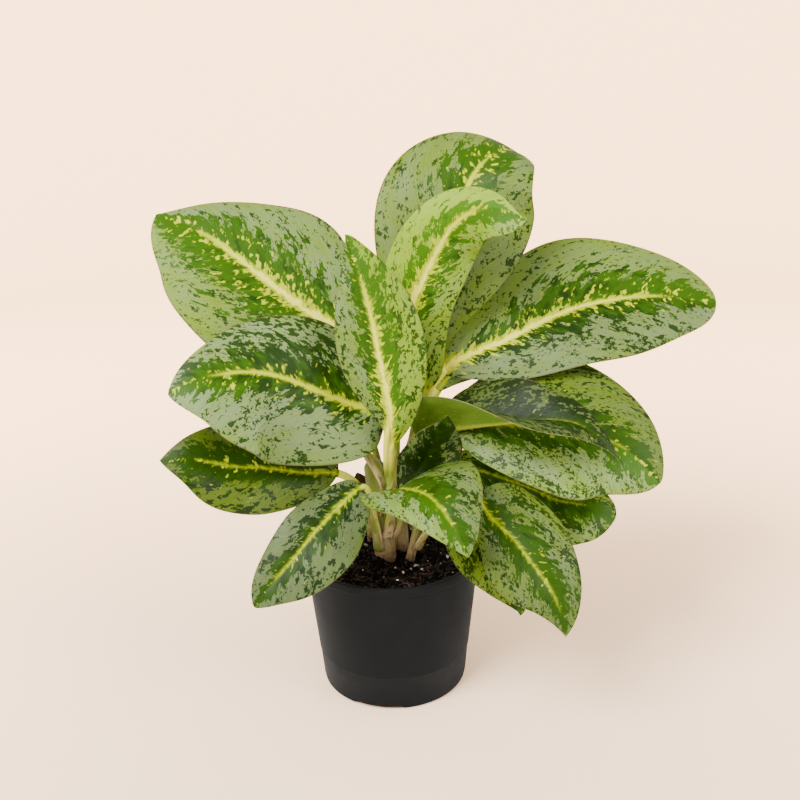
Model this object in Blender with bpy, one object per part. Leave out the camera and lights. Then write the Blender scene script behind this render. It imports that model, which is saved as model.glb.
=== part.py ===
"""Potted aglaonema: a nursery pot, its soil, three short canes, eighteen leaves and a dry sheath.

The origin is the middle of the pot's base on the surface that it stands on, +Z is up and -Y is
the front of the plant. Lengths in the constants are millimetres and angles are degrees.
"""

import math
from dataclasses import dataclass

import bmesh
import bpy
import numpy as np
from mathutils import Vector, noise

MM = 0.001
CLEARANCE = 0.3
SHARP_ANGLE = 40.0

# Pot
POT_TOP_RADIUS = 60.0
POT_BASE_RADIUS = 49.3
POT_HEIGHT = 95.0
POT_WALL = 1.5
POT_SEGMENTS = 56
POT_COLOUR = (0.02, 0.02, 0.022)
FLOOR_RISE = 3.2
FLOOR_THICKNESS = 1.6
FLOOR_SLOPE = 0.6
CENTRE_PAD_RADIUS = 25.0
INSIDE_CORNER_WIDTH = 2.5
INSIDE_CORNER_HEIGHT = 3.2
LIP_HEIGHT = 6.0
LIP_STEP = 0.7
LIP_CHAMFER = 0.5
SEAM_HEIGHT = 25.0
SEAM_STEP = 0.35
BASE_ROUND = 2.0
FOOT_WIDTH = 2.4
NOTCH_COUNT = 3
NOTCH_ANGLE = 42.0
NOTCH_HEIGHT = 2.2
NOTCH_STEPS = 5
FIRST_NOTCH = 257.0
DRAIN_COUNT = 6
DRAIN_RADIUS = 4.0
DRAIN_CIRCLE = 34.0
DRAIN_SIDES = 12
CUTTER_REACH = 3.0

# Soil
SOIL_COLOUR = (0.035, 0.022, 0.016)
SOIL_WALL_GAP = 0.45
SOIL_SIDE_HEIGHT = 45.0
SOIL_EDGE_HEIGHT = 86.5
SOIL_EDGE_DIP = 1.0
SOIL_MOUND = 3.0
SOIL_LUMP = 3.2
SOIL_LUMP_SIZE = 9.0
SOIL_SEGMENTS = 44
SOIL_RINGS = 8

# Canes
STEM_COLOUR = (0.62, 0.60, 0.42)
STEM_SIDES = 14
STEM_HOLE_DEPTH = 14.0
STEM_HOLE_TOP = 15.0

# Leaves
LEAF_COLOUR = (0.30, 0.42, 0.22)
SHEATH_COLOUR = (0.10, 0.05, 0.03)
BLADE_THICKNESS = 0.8
BLADE_LEAST_WIDTH = 0.6
BLADE_COLUMNS = (0.14, 0.56, 1.0)
BLADE_STATIONS = 13
STALK_STATIONS = 6
RIB_KEEL = 1.5
FOLDING_WIDTH = 14.0
FOLD_STATIONS = (0.0, 0.5, 1.0)
WIDTH_STATIONS = (0.2, 0.5, 0.8)
RIPPLE_WAVES = 2.3
LOBE_LENGTH = 0.4
SHEATH_SPREAD = 1.4
SHEATH_HALF_DEPTH = 2.0
SHEATH_LENGTH = 0.5
STALK_HALF_DEPTH = 2.6


@dataclass
class Stem:
    """A short cane: two points of its axis above the soil and its radius at foot and top."""

    foot: tuple
    top: tuple
    foot_radius: float
    top_radius: float


@dataclass
class Leaf:
    """One leaf.

    seat is the cane, the heading round it and the height where the leaf stalk sits on it.
    stalk and rib are points along the stalk and the midrib, from the cane to the tip.
    left and right are the half widths at WIDTH_STATIONS, seen from the stalk to the tip.
    faces is the way that the upper side looks at the blade's base and at its tip.
    left_fold and right_fold are the angles that each half rises by at base, middle and tip.
    curl is how far each half bends back down from the midrib to its margin.
    lobe is how far the blade's base reaches back past the end of the stalk.
    base_fullness and tip_fullness are lower for a blunt end and higher for a pointed one.
    wave is the height of the ripple along the margins, and stalk_radius the half width of the stalk.
    """

    seat: tuple
    stalk: tuple
    rib: tuple
    left: tuple
    right: tuple
    faces: tuple
    left_fold: tuple = (14, 12, 8)
    right_fold: tuple = (14, 12, 8)
    curl: float = 25.0
    lobe: float = 0.0
    base_fullness: float = 0.5
    tip_fullness: float = 0.45
    wave: float = 1.0
    stalk_radius: float = 2.5
    colour: tuple = LEAF_COLOUR


STEMS = {
    "stem_main": Stem((-4, -3, 86), (-10.5, -5, 160), 7.2, 7.0),
    "stem_right": Stem((11.5, -7.5, 86), (18, -14, 118), 3.2, 2.8),
    "stem_back": Stem((6, 9, 86), (7, 8, 142), 5.4, 4.2),
}

LEAVES = {
    "leaf_centre": Leaf(
        seat=("stem_main", 310, 124),
        stalk=((0, -18, 147),),
        rib=((0, -28, 174), (1, -33, 203), (-4, -29, 234), (-10, -23, 266), (-16, -17, 287),
             (-23, -8, 307)),
        left=(12, 25, 18),
        right=(19, 30, 25),
        faces=((0.1, -1, 0.25), (0.1, -1, 0.5)),
        right_fold=(36, 16, 8),
        base_fullness=0.3,
        stalk_radius=3.6,
    ),
    "leaf_top_front": Leaf(
        seat=("stem_back", 315, 138),
        stalk=((15, 2, 172),),
        rib=((20, 4, 203), (14, 8, 233), (19, 12, 264), (29, 12, 285), (43, 6, 309),
             (63, -8, 321), (84, -26, 316)),
        left=(17, 28, 17),
        right=(32, 25, 26),
        faces=((-0.1, -1, 0.3), (-0.2, -0.9, 0.5)),
        right_fold=(14, 8, 4),
    ),
    "leaf_top_back": Leaf(
        seat=("stem_back", 100, 136),
        stalk=((17, 18, 172), (22, 17, 195)),
        rib=((27, 18, 212), (28, 21, 243), (36, 29, 282), (47, 37, 312), (61, 47, 339),
             (79, 60, 350), (94, 76, 345)),
        left=(29, 52, 49),
        right=(33, 49, 46),
        faces=((-0.1, -1, 0.2), (0.2, -0.3, 1)),
        right_fold=(22, 8, 8),
    ),
    "leaf_upper_left": Leaf(
        seat=("stem_main", 315, 142),
        stalk=((-7, -16, 157), (-15, -13, 168), (-23, 4, 202)),
        rib=((-19, 14, 228), (-42, 20, 248), (-73, 28, 270), (-98, 35, 289), (-124, 42, 306),
             (-149, 46, 315)),
        left=(62, 59, 56),
        right=(50, 59, 37),
        faces=((0.2, -1, 0.6), (0.1, -0.8, 0.8)),
        lobe=0.2,
        base_fullness=0.4,
        tip_fullness=0.45,
        stalk_radius=2.8,
        wave=0.3,
    ),
    "leaf_left": Leaf(
        seat=("stem_main", 5, 128),
        stalk=((4, -6, 160),),
        rib=((0, -10, 191), (-20, -15, 201), (-48, -24, 216), (-75, -34, 229), (-100, -43, 231),
             (-117, -49, 228), (-128, -52, 222)),
        left=(46, 54, 61),
        right=(42, 42, 32),
        faces=((0.1, -1, 0.5), (0.0, -0.9, 0.8)),
        lobe=0.4,
        tip_fullness=0.65,
    ),
    "leaf_lower_left": Leaf(
        seat=("stem_main", 210, 108),
        stalk=((-17, -15, 134), (-21, -17, 147)),
        rib=((-33, -20, 157), (-48, -26, 160), (-74, -34, 167), (-100, -42, 173),
             (-120, -50, 181), (-137, -52, 181)),
        left=(22, 32, 38),
        right=(36, 38, 36),
        faces=((0.1, -1, 0.7), (0.0, -0.9, 0.9)),
        tip_fullness=0.85,
    ),
    "leaf_front_left": Leaf(
        seat=("stem_main", 248, 98),
        stalk=((-12, -23, 136),),
        rib=((-17, -32, 152), (-30, -45, 147), (-46, -60, 135), (-63, -74, 119), (-75, -83, 108),
             (-81, -86, 100)),
        left=(26, 30, 27),
        right=(18, 20, 20),
        faces=((0.1, -0.8, 0.9), (-0.1, -1.0, 0.5)),
        tip_fullness=0.65,
    ),
    "leaf_front_small": Leaf(
        seat=("stem_main", 290, 108),
        stalk=((1, -26, 136),),
        rib=((3, -40, 152), (15, -64, 163), (27, -84, 164), (36, -97, 155), (41, -102, 147),
             (44, -104, 139)),
        left=(36, 40, 39),
        right=(28, 28, 27),
        faces=((0, -0.3, 1), (0.2, -1, 0.4)),
        right_fold=(24, 14, 8),
        lobe=0.35,
        base_fullness=0.3,
        tip_fullness=0.85,
    ),
    "leaf_inner_small": Leaf(
        seat=("stem_main", 335, 106),
        stalk=((6, -11, 122),),
        rib=((8, -16, 136), (16, -21, 154), (27, -33, 180), (36, -48, 204)),
        left=(12, 17, 15),
        right=(10, 22, 24),
        faces=((0.2, -1, 0.3), (0.2, -1, 0.3)),
        tip_fullness=0.85,
    ),
    "leaf_right_folded": Leaf(
        seat=("stem_back", 290, 122),
        stalk=((10, -5, 150), (13, -6, 166)),
        rib=((22, -8, 176), (35, -17, 183), (49, -25, 188), (69, -33, 193), (90, -41, 197),
             (113, -49, 197), (127, -55, 189), (139, -61, 175)),
        left=(30, 30, 18),
        right=(42, 44, 24),
        faces=((0, -0.3, 1), (0, -0.5, 1)),
        left_fold=(34, 44, 30),
        right_fold=(100, 54, 5),
        lobe=0.2,
        tip_fullness=0.95,
    ),
    "leaf_right": Leaf(
        seat=("stem_back", 338, 114),
        stalk=((23, 1, 156),),
        rib=((35, -8, 180), (59, -16, 186), (89, -22, 187), (119, -28, 184), (145, -36, 176),
             (156, -40, 167), (166, -44, 155)),
        left=(57, 56, 38),
        right=(33, 44, 44),
        faces=((0, -0.6, 1), (0, -0.8, 0.8)),
        right_fold=(-6, 4, 8),
    ),
    "leaf_lower_right": Leaf(
        seat=("stem_back", 10, 104),
        stalk=((26, 8, 130),),
        rib=((43, 6, 147), (77, 4, 140), (95, 0, 134), (112, -6, 128), (131, -12, 126), (146, -16, 117)),
        left=(24, 22, 22),
        right=(38, 30, 36),
        faces=((0, -0.6, 1), (0, -0.8, 0.8)),
        base_fullness=0.4,
    ),
    "leaf_front_right": Leaf(
        seat=("stem_right", 0, 116),
        stalk=((31, -10, 138), (46, -20, 156)),
        rib=((55, -44, 152), (58, -52, 145), (73, -66, 132), (84, -78, 120), (95, -86, 105),
             (103, -90, 78)),
        left=(30, 32, 34),
        right=(14, 30, 27),
        faces=((0.1, -0.8, 0.9), (0.2, -1.0, 0.4)),
        lobe=0.5,
        base_fullness=0.4,
        tip_fullness=0.85,
    ),
    "leaf_under_right": Leaf(
        seat=("stem_right", 310, 100),
        stalk=((27, -24, 124),),
        rib=((39, -30, 138), (50, -40, 125), (62, -50, 109), (72, -57, 91), (80, -60, 75)),
        left=(18, 18, 16),
        right=(22, 20, 10),
        faces=((0.1, -0.8, 0.7), (0.2, -1.0, 0.4)),
    ),
    "leaf_upper_right": Leaf(
        seat=("stem_back", 27, 130),
        stalk=((19, 9, 160), (22.5, 8, 192)),
        rib=((36, 14, 213), (73, 20, 230), (113, 26, 247), (153, 32, 255), (190, 34, 255),
             (218, 32, 250)),
        left=(40, 57, 52),
        right=(36, 44, 45),
        faces=((0, -0.8, 0.8), (0, -0.7, 0.9)),
        lobe=0.2,
        stalk_radius=3.0,
    ),
    "leaf_back_left": Leaf(
        seat=("stem_back", 175, 112),
        stalk=((-6, 16, 138), (-14, 25, 166)),
        rib=((-34, 36, 188), (-57, 56, 202), (-80, 78, 206), (-100, 100, 198)),
        left=(26, 32, 24),
        right=(26, 32, 24),
        faces=((0.5, -0.4, 1), (0.4, 0.1, 1)),
    ),
    "leaf_back": Leaf(
        seat=("stem_back", 120, 122),
        stalk=((4, 32, 160),),
        rib=((2, 44, 184), (-4, 70, 206), (-10, 98, 214), (-14, 124, 206)),
        left=(28, 36, 27),
        right=(28, 36, 27),
        faces=((0, -0.6, 1), (0, 0.2, 1)),
    ),
    "leaf_back_right": Leaf(
        seat=("stem_back", 55, 108),
        stalk=((21, 30, 160),),
        rib=((34, 45, 190), (60, 65, 206), (88, 87, 208), (112, 108, 198)),
        left=(25, 31, 24),
        right=(25, 31, 24),
        faces=((-0.4, -0.4, 1), (-0.3, 0.1, 1)),
    ),
    "dry_sheath": Leaf(
        seat=("stem_main", 165, 100),
        stalk=((-15, 2, 114),),
        rib=((-17, 3, 124), (-19, 4, 134), (-22, 5, 147)),
        left=(7, 8, 6),
        right=(7, 8, 6),
        faces=((0.6, -1, 0.2), (0.5, -1, 0.3)),
        wave=0.3,
        colour=SHEATH_COLOUR,
    ),
}


def clear_scene():
    """Remove every object that the scene starts with."""
    for thing in list(bpy.data.objects):
        bpy.data.objects.remove(thing, do_unlink=True)


def plain_material(name, colour, roughness):
    """A Principled material of one colour."""
    material = bpy.data.materials.new(name)
    material.use_nodes = True
    shader = material.node_tree.nodes["Principled BSDF"]
    shader.inputs["Base Color"].default_value = (*colour, 1.0)
    shader.inputs["Roughness"].default_value = roughness
    return material


def mesh_object(name, vertices, faces, material=None):
    """An object from points in millimetres, with its faces turned outwards."""
    mesh = bpy.data.meshes.new(name)
    mesh.from_pydata([tuple(MM * float(value) for value in point) for point in vertices], [], faces)
    work = bmesh.new()
    work.from_mesh(mesh)
    if work.calc_volume(signed=True) < 0:
        bmesh.ops.reverse_faces(work, faces=work.faces)
    work.to_mesh(mesh)
    work.free()
    mesh.shade_smooth()
    mesh.set_sharp_from_angle(angle=math.radians(SHARP_ANGLE))
    if material:
        mesh.materials.append(material)
    thing = bpy.data.objects.new(name, mesh)
    bpy.context.scene.collection.objects.link(thing)
    return thing


def unit(vectors):
    """The same vectors with length one."""
    return vectors / np.linalg.norm(vectors, axis=-1, keepdims=True)


def smooth_curve(points, fractions):
    """Points on the natural cubic curve through the given ones, at fractions of its chord length."""
    knots = np.asarray(points, float)
    chords = np.linalg.norm(np.diff(knots, axis=0), axis=1)
    places = np.concatenate([[0.0], np.cumsum(chords)]) / chords.sum()
    steps = np.diff(places)
    system = np.eye(len(knots))
    bends = np.zeros_like(knots)
    for index in range(1, len(knots) - 1):
        before, after = steps[index - 1], steps[index]
        system[index, index - 1 : index + 2] = (before, 2 * (before + after), after)
        slope_change = (knots[index + 1] - knots[index]) / after - (knots[index] - knots[index - 1]) / before
        bends[index] = 6 * slope_change
    bends = np.linalg.solve(system, bends)
    spans = np.clip(np.searchsorted(places, fractions, side="right") - 1, 0, len(steps) - 1)
    along = (np.asarray(fractions) - places[spans])[:, None]
    step = steps[spans][:, None]
    slope = (knots[spans + 1] - knots[spans]) / step - step * (2 * bends[spans] + bends[spans + 1]) / 6
    cubic = (bends[spans + 1] - bends[spans]) / (6 * step)
    return knots[spans] + along * slope + along**2 * bends[spans] / 2 + along**3 * cubic


def stem_point(stem, height):
    """The cane's axis and radius at a height."""
    foot, top = np.array(stem.foot, float), np.array(stem.top, float)
    share = (height - foot[2]) / (top[2] - foot[2])
    radius = stem.foot_radius + (stem.top_radius - stem.foot_radius) * share
    return foot + (top - foot) * share, radius


def half_width(fraction, widths, leaf):
    """The blade's half width at a fraction of its length, 0 at base and tip."""
    base_power, tip_power = leaf.base_fullness, leaf.tip_fullness
    peak = base_power / (base_power + tip_power)
    outline = fraction**base_power * (1 - fraction) ** tip_power
    outline = outline / (peak**base_power * (1 - peak) ** tip_power)
    first, middle, last = widths
    place = (fraction - WIDTH_STATIONS[1]) / (WIDTH_STATIONS[2] - WIDTH_STATIONS[1])
    scale = middle + (last - first) / 2 * place + ((first + last) / 2 - middle) * place**2
    return outline * max(scale, 0.0)


def leaf_path(leaf):
    """All points that the stalk and midrib run through, and the fraction where the blade starts."""
    stem_name, heading, height = leaf.seat
    axis, radius = stem_point(STEMS[stem_name], height)
    out = np.array([math.cos(math.radians(heading)), math.sin(math.radians(heading)), 0.0])
    seat = axis + out * (radius + CLEARANCE + SHEATH_HALF_DEPTH)
    points = [seat, *leaf.stalk, *leaf.rib]
    chords = np.linalg.norm(np.diff(np.array(points, float), axis=0), axis=1)
    stalk_share = chords[: len(leaf.stalk) + 1].sum() / chords.sum()
    return points, stalk_share, out


def side_points(centre, frame, sign, leaf, width, share, fold, columns):
    """Points across one half of the blade with the blade's own normals there."""
    along, across, up = frame
    freedom = min(1.0, width / FOLDING_WIDTH)
    angles = np.radians(freedom * (fold - leaf.curl * np.array([0.0, *columns])))
    steps = np.diff([0.0, *columns])
    turns = (angles[1:] + angles[:-1]) / 2
    outward = np.cumsum(np.cos(turns) * steps) * width
    rise = np.cumsum(np.sin(turns) * steps) * width
    reach = np.array(columns) ** 2
    phase = 0.25 if sign > 0 else 0.0
    ripple = leaf.wave * freedom * math.sin(2 * math.pi * (RIPPLE_WAVES * share + phase)) * reach
    lag = leaf.lobe * max(0.0, 1 - share / LOBE_LENGTH) ** 2 * width * reach
    places = centre + sign * outward[:, None] * across + (rise + ripple)[:, None] * up - lag[:, None] * along
    normals = np.cos(angles[1:])[:, None] * up - sign * np.sin(angles[1:])[:, None] * across
    return places, normals


def blade_ring(centre, frame, leaf, share, columns):
    """The closed ring round the blade at one station: upper side left to right, lower side back."""
    folds = [np.interp(share, FOLD_STATIONS, fold) for fold in (leaf.left_fold, leaf.right_fold)]
    widths = [max(half_width(share, width, leaf), BLADE_LEAST_WIDTH) for width in (leaf.left, leaf.right)]
    left, left_up = side_points(centre, frame, -1, leaf, widths[0], share, folds[0], columns)
    right, right_up = side_points(centre, frame, 1, leaf, widths[1], share, folds[1], columns)
    middle = np.concatenate([left[::-1], [centre], right])
    normals = np.concatenate([left_up[::-1], [frame[2]], right_up])
    half = BLADE_THICKNESS / 2
    upper = middle + half * normals
    depths = np.full(len(middle), half)
    depths[len(columns)] += RIB_KEEL * (1 - share)
    lower = middle - depths[:, None] * normals
    return np.concatenate([upper, lower[::-1]])


def stalk_ring(centre, frame, radius, grown, count):
    """An oval ring with as many points as a blade ring: a flat sheath at first, a round stalk once grown."""
    half_across = radius * (SHEATH_SPREAD + (1 - SHEATH_SPREAD) * grown)
    half_deep = SHEATH_HALF_DEPTH + (min(radius, STALK_HALF_DEPTH) - SHEATH_HALF_DEPTH) * grown
    turn = math.pi - (np.arange(count) + 0.5) * 2 * math.pi / count
    across = np.cos(turn)[:, None] * frame[1] * half_across
    return centre + across + np.sin(turn)[:, None] * frame[2] * half_deep


def strip_faces(first, second, count):
    """Triangles between two rings, split alike on the upper and the lower side of the blade."""
    faces = []
    for index in range(count):
        a, b = first + index, first + (index + 1) % count
        c, d = second + (index + 1) % count, second + index
        if index < count // 2:
            faces += [(a, b, c), (a, c, d)]
        else:
            faces += [(a, b, d), (b, c, d)]
    return faces


def leaf_mesh(leaf, stations, stalk_stations, columns):
    """Vertices and triangles of a whole leaf: stalk, midrib and blade in one closed body."""
    points, stalk_share, out = leaf_path(leaf)
    stalk_shares = np.linspace(0, 1, stalk_stations, endpoint=False)
    blade_shares = 0.5 * (1 - np.cos(np.pi * np.linspace(0, 1, stations)))
    fractions = np.concatenate([stalk_shares * stalk_share, stalk_share + blade_shares * (1 - stalk_share)])
    line = smooth_curve(points, fractions)
    along = unit(np.gradient(line, fractions, axis=0))
    base_face, tip_face = unit(np.array(leaf.faces, float))
    count = 2 * (2 * len(columns) + 1)
    vertices = [line[0]]
    rings = []
    for index, fraction in enumerate(fractions[:-1]):
        share = (fraction - stalk_share) / (1 - stalk_share)
        climb = fraction / stalk_share
        facing = base_face * climb - out * (1 - climb)
        if share > 0:
            facing = base_face * (1 - share) + tip_face * share
        across = unit(np.cross(along[index], facing))
        frame = (along[index], across, np.cross(across, along[index]))
        rings.append(len(vertices))
        if share > 0:
            vertices += list(blade_ring(line[index], frame, leaf, share, columns))
        else:
            grown = min(1.0, climb / SHEATH_LENGTH)
            vertices += list(stalk_ring(line[index], frame, leaf.stalk_radius, grown, count))
    tip = len(vertices)
    vertices.append(line[-1])
    faces = []
    for first, second in zip(rings[:-1], rings[1:]):
        faces += strip_faces(first, second, count)
    for index in range(count):
        following = (index + 1) % count
        faces.append((0, rings[0] + following, rings[0] + index))
        faces.append((tip, rings[-1] + index, rings[-1] + following))
    return vertices, faces


def turned(name, profile, segments, material):
    """A body turned about the pot's axis from a profile whose two ends lie on the axis."""
    vertices = [(0, 0, profile[0][1])]
    for radius, height in profile[1:-1]:
        for step in range(segments):
            angle = 2 * math.pi * step / segments
            vertices.append((radius * math.cos(angle), radius * math.sin(angle), height))
    vertices.append((0, 0, profile[-1][1]))
    faces = []
    for step in range(segments):
        following = (step + 1) % segments
        faces.append((0, 1 + following, 1 + step))
        last = len(vertices) - 1 - segments
        faces.append((len(vertices) - 1, last + step, last + following))
        for ring in range(len(profile) - 3):
            low, high = 1 + ring * segments, 1 + (ring + 1) * segments
            faces.append((low + step, low + following, high + following, high + step))
    return mesh_object(name, vertices, faces, material)


def round_bar(name, bottom, top, bottom_radius, top_radius, sides, material=None):
    """A tapered round bar between two points."""
    bottom, top = np.array(bottom, float), np.array(top, float)
    along = unit(top - bottom)
    across = unit(np.cross(along, (0.0, 1.0, 0.0)))
    deep = np.cross(along, across)
    vertices = []
    for centre, radius in ((bottom, bottom_radius), (top, top_radius)):
        for step in range(sides):
            angle = 2 * math.pi * step / sides
            vertices.append(centre + radius * (math.cos(angle) * across + math.sin(angle) * deep))
    faces = [(step, (step + 1) % sides, sides + (step + 1) % sides, sides + step) for step in range(sides)]
    faces += [tuple(range(sides))[::-1], tuple(range(sides, 2 * sides))]
    return mesh_object(name, vertices, faces, material)


def cut(target, cutter):
    """Cut one object with another, which stays as a hidden guide. EXACT leaves the pot with open edges."""
    modifier = target.modifiers.new(cutter.name, "BOOLEAN")
    modifier.operation = "DIFFERENCE"
    modifier.solver = "MANIFOLD"
    modifier.object = cutter
    cutter.hide_render = True
    cutter.display_type = "WIRE"


def wall_radius(height):
    """The pot's outer radius at a height."""
    return POT_BASE_RADIUS + (POT_TOP_RADIUS - LIP_STEP - POT_BASE_RADIUS) * height / POT_HEIGHT


def inner_radius(height):
    """The radius of the pot's inside at a height."""
    return wall_radius(height) - POT_WALL


def inside_profile(side_gap, floor_gap):
    """The pot's inside from the middle of its floor to the foot of its wall, drawn in by two gaps."""
    pad_top = FLOOR_THICKNESS + floor_gap
    floor_top = FLOOR_RISE + FLOOR_THICKNESS + floor_gap
    pad_edge = CENTRE_PAD_RADIUS - POT_WALL - side_gap
    corner = FLOOR_RISE + FLOOR_THICKNESS + INSIDE_CORNER_HEIGHT
    return [
        (0, pad_top),
        (pad_edge, pad_top),
        (pad_edge + FLOOR_SLOPE, floor_top),
        (inner_radius(corner) - INSIDE_CORNER_WIDTH - side_gap, floor_top),
        (inner_radius(corner) - side_gap, corner + floor_gap),
    ]


def pot_profile():
    """The pot's outline from the middle of its underside round the wall to the middle of its floor."""
    foot_outside = POT_BASE_RADIUS - BASE_ROUND
    foot_inside = foot_outside - FOOT_WIDTH
    lip_bottom = POT_HEIGHT - LIP_HEIGHT
    underside = [
        (0, 0),
        (CENTRE_PAD_RADIUS, 0),
        (CENTRE_PAD_RADIUS + FLOOR_SLOPE, FLOOR_RISE),
        (foot_inside - FLOOR_SLOPE, FLOOR_RISE),
        (foot_inside, 0),
    ]
    corner = []
    for angle in (0, 30, 60, 90):
        turn = math.radians(angle)
        corner.append((foot_outside + BASE_ROUND * math.sin(turn), BASE_ROUND * (1 - math.cos(turn))))
    wall = [
        (wall_radius(SEAM_HEIGHT) - SEAM_STEP, SEAM_HEIGHT - SEAM_STEP),
        (wall_radius(SEAM_HEIGHT), SEAM_HEIGHT),
        (wall_radius(lip_bottom), lip_bottom - LIP_STEP),
        (POT_TOP_RADIUS, lip_bottom),
        (POT_TOP_RADIUS, POT_HEIGHT - LIP_CHAMFER),
        (POT_TOP_RADIUS - LIP_CHAMFER, POT_HEIGHT),
        (inner_radius(POT_HEIGHT), POT_HEIGHT),
    ]
    return underside + corner + wall + inside_profile(0.0, 0.0)[::-1]


def build_pot():
    """The nursery pot with its lip, seam, centre pad, foot ring, drain notches and drain holes."""
    pot = turned("pot", pot_profile(), POT_SEGMENTS, plain_material("black_plastic", POT_COLOUR, 0.45))
    for index in range(NOTCH_COUNT):
        cut(pot, notch_cutter(f"notch_{index + 1}", FIRST_NOTCH + 360 * index / NOTCH_COUNT))
    top = FLOOR_RISE + FLOOR_THICKNESS + CUTTER_REACH
    for index in range(DRAIN_COUNT):
        angle = 2 * math.pi * (index + 0.5) / DRAIN_COUNT
        x, y = DRAIN_CIRCLE * math.cos(angle), DRAIN_CIRCLE * math.sin(angle)
        ends = ((x, y, FLOOR_RISE - CUTTER_REACH), (x, y, top))
        cut(pot, round_bar(f"drain_{index + 1}", *ends, DRAIN_RADIUS, DRAIN_RADIUS, DRAIN_SIDES))


def notch_cutter(name, middle):
    """A wedge of a ring that takes one drain notch out of the foot."""
    inside = POT_BASE_RADIUS - BASE_ROUND - FOOT_WIDTH - CUTTER_REACH
    vertices = []
    for step in range(NOTCH_STEPS + 1):
        angle = math.radians(middle + NOTCH_ANGLE * (step / NOTCH_STEPS - 0.5))
        for radius in (inside, POT_BASE_RADIUS + CUTTER_REACH):
            for height in (-CUTTER_REACH, NOTCH_HEIGHT):
                vertices.append((radius * math.cos(angle), radius * math.sin(angle), height))
    faces = [(0, 1, 3, 2), tuple(4 * NOTCH_STEPS + corner for corner in (0, 2, 3, 1))]
    for step in range(NOTCH_STEPS):
        a, b = 4 * step, 4 * step + 4
        for first, second in ((0, 2), (2, 3), (3, 1), (1, 0)):
            faces.append((a + first, a + second, b + second, b + first))
    return mesh_object(name, vertices, faces)


def soil_height(x, y):
    """The height of the soil's surface, a low lumpy mound that sinks towards the wall."""
    share = math.hypot(x, y) / POT_TOP_RADIUS
    lump = noise.noise(Vector((x, y, 3.0)) / SOIL_LUMP_SIZE) * SOIL_LUMP
    return SOIL_EDGE_HEIGHT + SOIL_MOUND * (1 - share**2) + lump


def build_soil():
    """The soil that fills the pot, with a plain hole for each cane."""
    inside = inside_profile(SOIL_WALL_GAP, CLEARANCE)
    sides = inside[1:] + [(inner_radius(SOIL_SIDE_HEIGHT) - SOIL_WALL_GAP, SOIL_SIDE_HEIGHT)]
    edge = inner_radius(SOIL_EDGE_HEIGHT) - SOIL_WALL_GAP
    angles = [2 * math.pi * step / SOIL_SEGMENTS for step in range(SOIL_SEGMENTS)]
    vertices = [(0, 0, inside[0][1])]
    for radius, height in sides:
        vertices += [(radius * math.cos(angle), radius * math.sin(angle), height) for angle in angles]
    for ring in range(SOIL_RINGS):
        radius = edge * (1 - ring / SOIL_RINGS)
        for angle in angles:
            x, y = radius * math.cos(angle), radius * math.sin(angle)
            height = SOIL_EDGE_HEIGHT - SOIL_EDGE_DIP if ring == 0 else soil_height(x, y)
            vertices.append((x, y, height))
    vertices.append((0, 0, soil_height(0, 0)))
    top = len(vertices) - 1
    faces = []
    for step in range(SOIL_SEGMENTS):
        following = (step + 1) % SOIL_SEGMENTS
        faces.append((0, 1 + following, 1 + step))
        faces.append((top, top - SOIL_SEGMENTS + step, top - SOIL_SEGMENTS + following))
        for ring in range(len(sides) + SOIL_RINGS - 1):
            low, high = 1 + ring * SOIL_SEGMENTS, 1 + (ring + 1) * SOIL_SEGMENTS
            faces.append((low + step, low + following, high + following, high + step))
    soil = mesh_object("soil", vertices, faces, plain_material("soil", SOIL_COLOUR, 0.95))
    for name, stem in STEMS.items():
        bottom, bottom_radius = stem_point(stem, SOIL_EDGE_HEIGHT - STEM_HOLE_DEPTH)
        above, above_radius = stem_point(stem, SOIL_EDGE_HEIGHT + STEM_HOLE_TOP)
        radii = (bottom_radius + CLEARANCE, above_radius + CLEARANCE)
        cut(soil, round_bar(f"{name}_hole", bottom, above, *radii, STEM_SIDES))


def build_stems():
    """The short canes, each standing in its hole in the soil."""
    material = plain_material("stem", STEM_COLOUR, 0.5)
    for name, stem in STEMS.items():
        bottom, bottom_radius = stem_point(stem, SOIL_EDGE_HEIGHT - STEM_HOLE_DEPTH + CLEARANCE)
        round_bar(name, bottom, stem.top, bottom_radius, stem.top_radius, STEM_SIDES, material)


def build_leaves():
    """Every leaf, each with its stalk seated on its cane."""
    for name, leaf in LEAVES.items():
        vertices, faces = leaf_mesh(leaf, BLADE_STATIONS, STALK_STATIONS, BLADE_COLUMNS)
        mesh_object(name, vertices, faces, plain_material(name, leaf.colour, 0.5))


def main():
    clear_scene()
    build_pot()
    build_soil()
    build_stems()
    build_leaves()


if __name__ == "__main__":
    main()
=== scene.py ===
"""Dresses the potted aglaonema: variegated leaves on pale stalks, green canes, soil and a black nursery pot.

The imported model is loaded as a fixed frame. Finer pieces then take the place of its solids, in the same
places, and each gets a procedural material. Lengths are millimetres unless a name says otherwise.
"""

import math
import random
from dataclasses import dataclass

import bmesh
import bpy
import numpy as np
from mathutils import Matrix, Vector, noise


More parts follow.
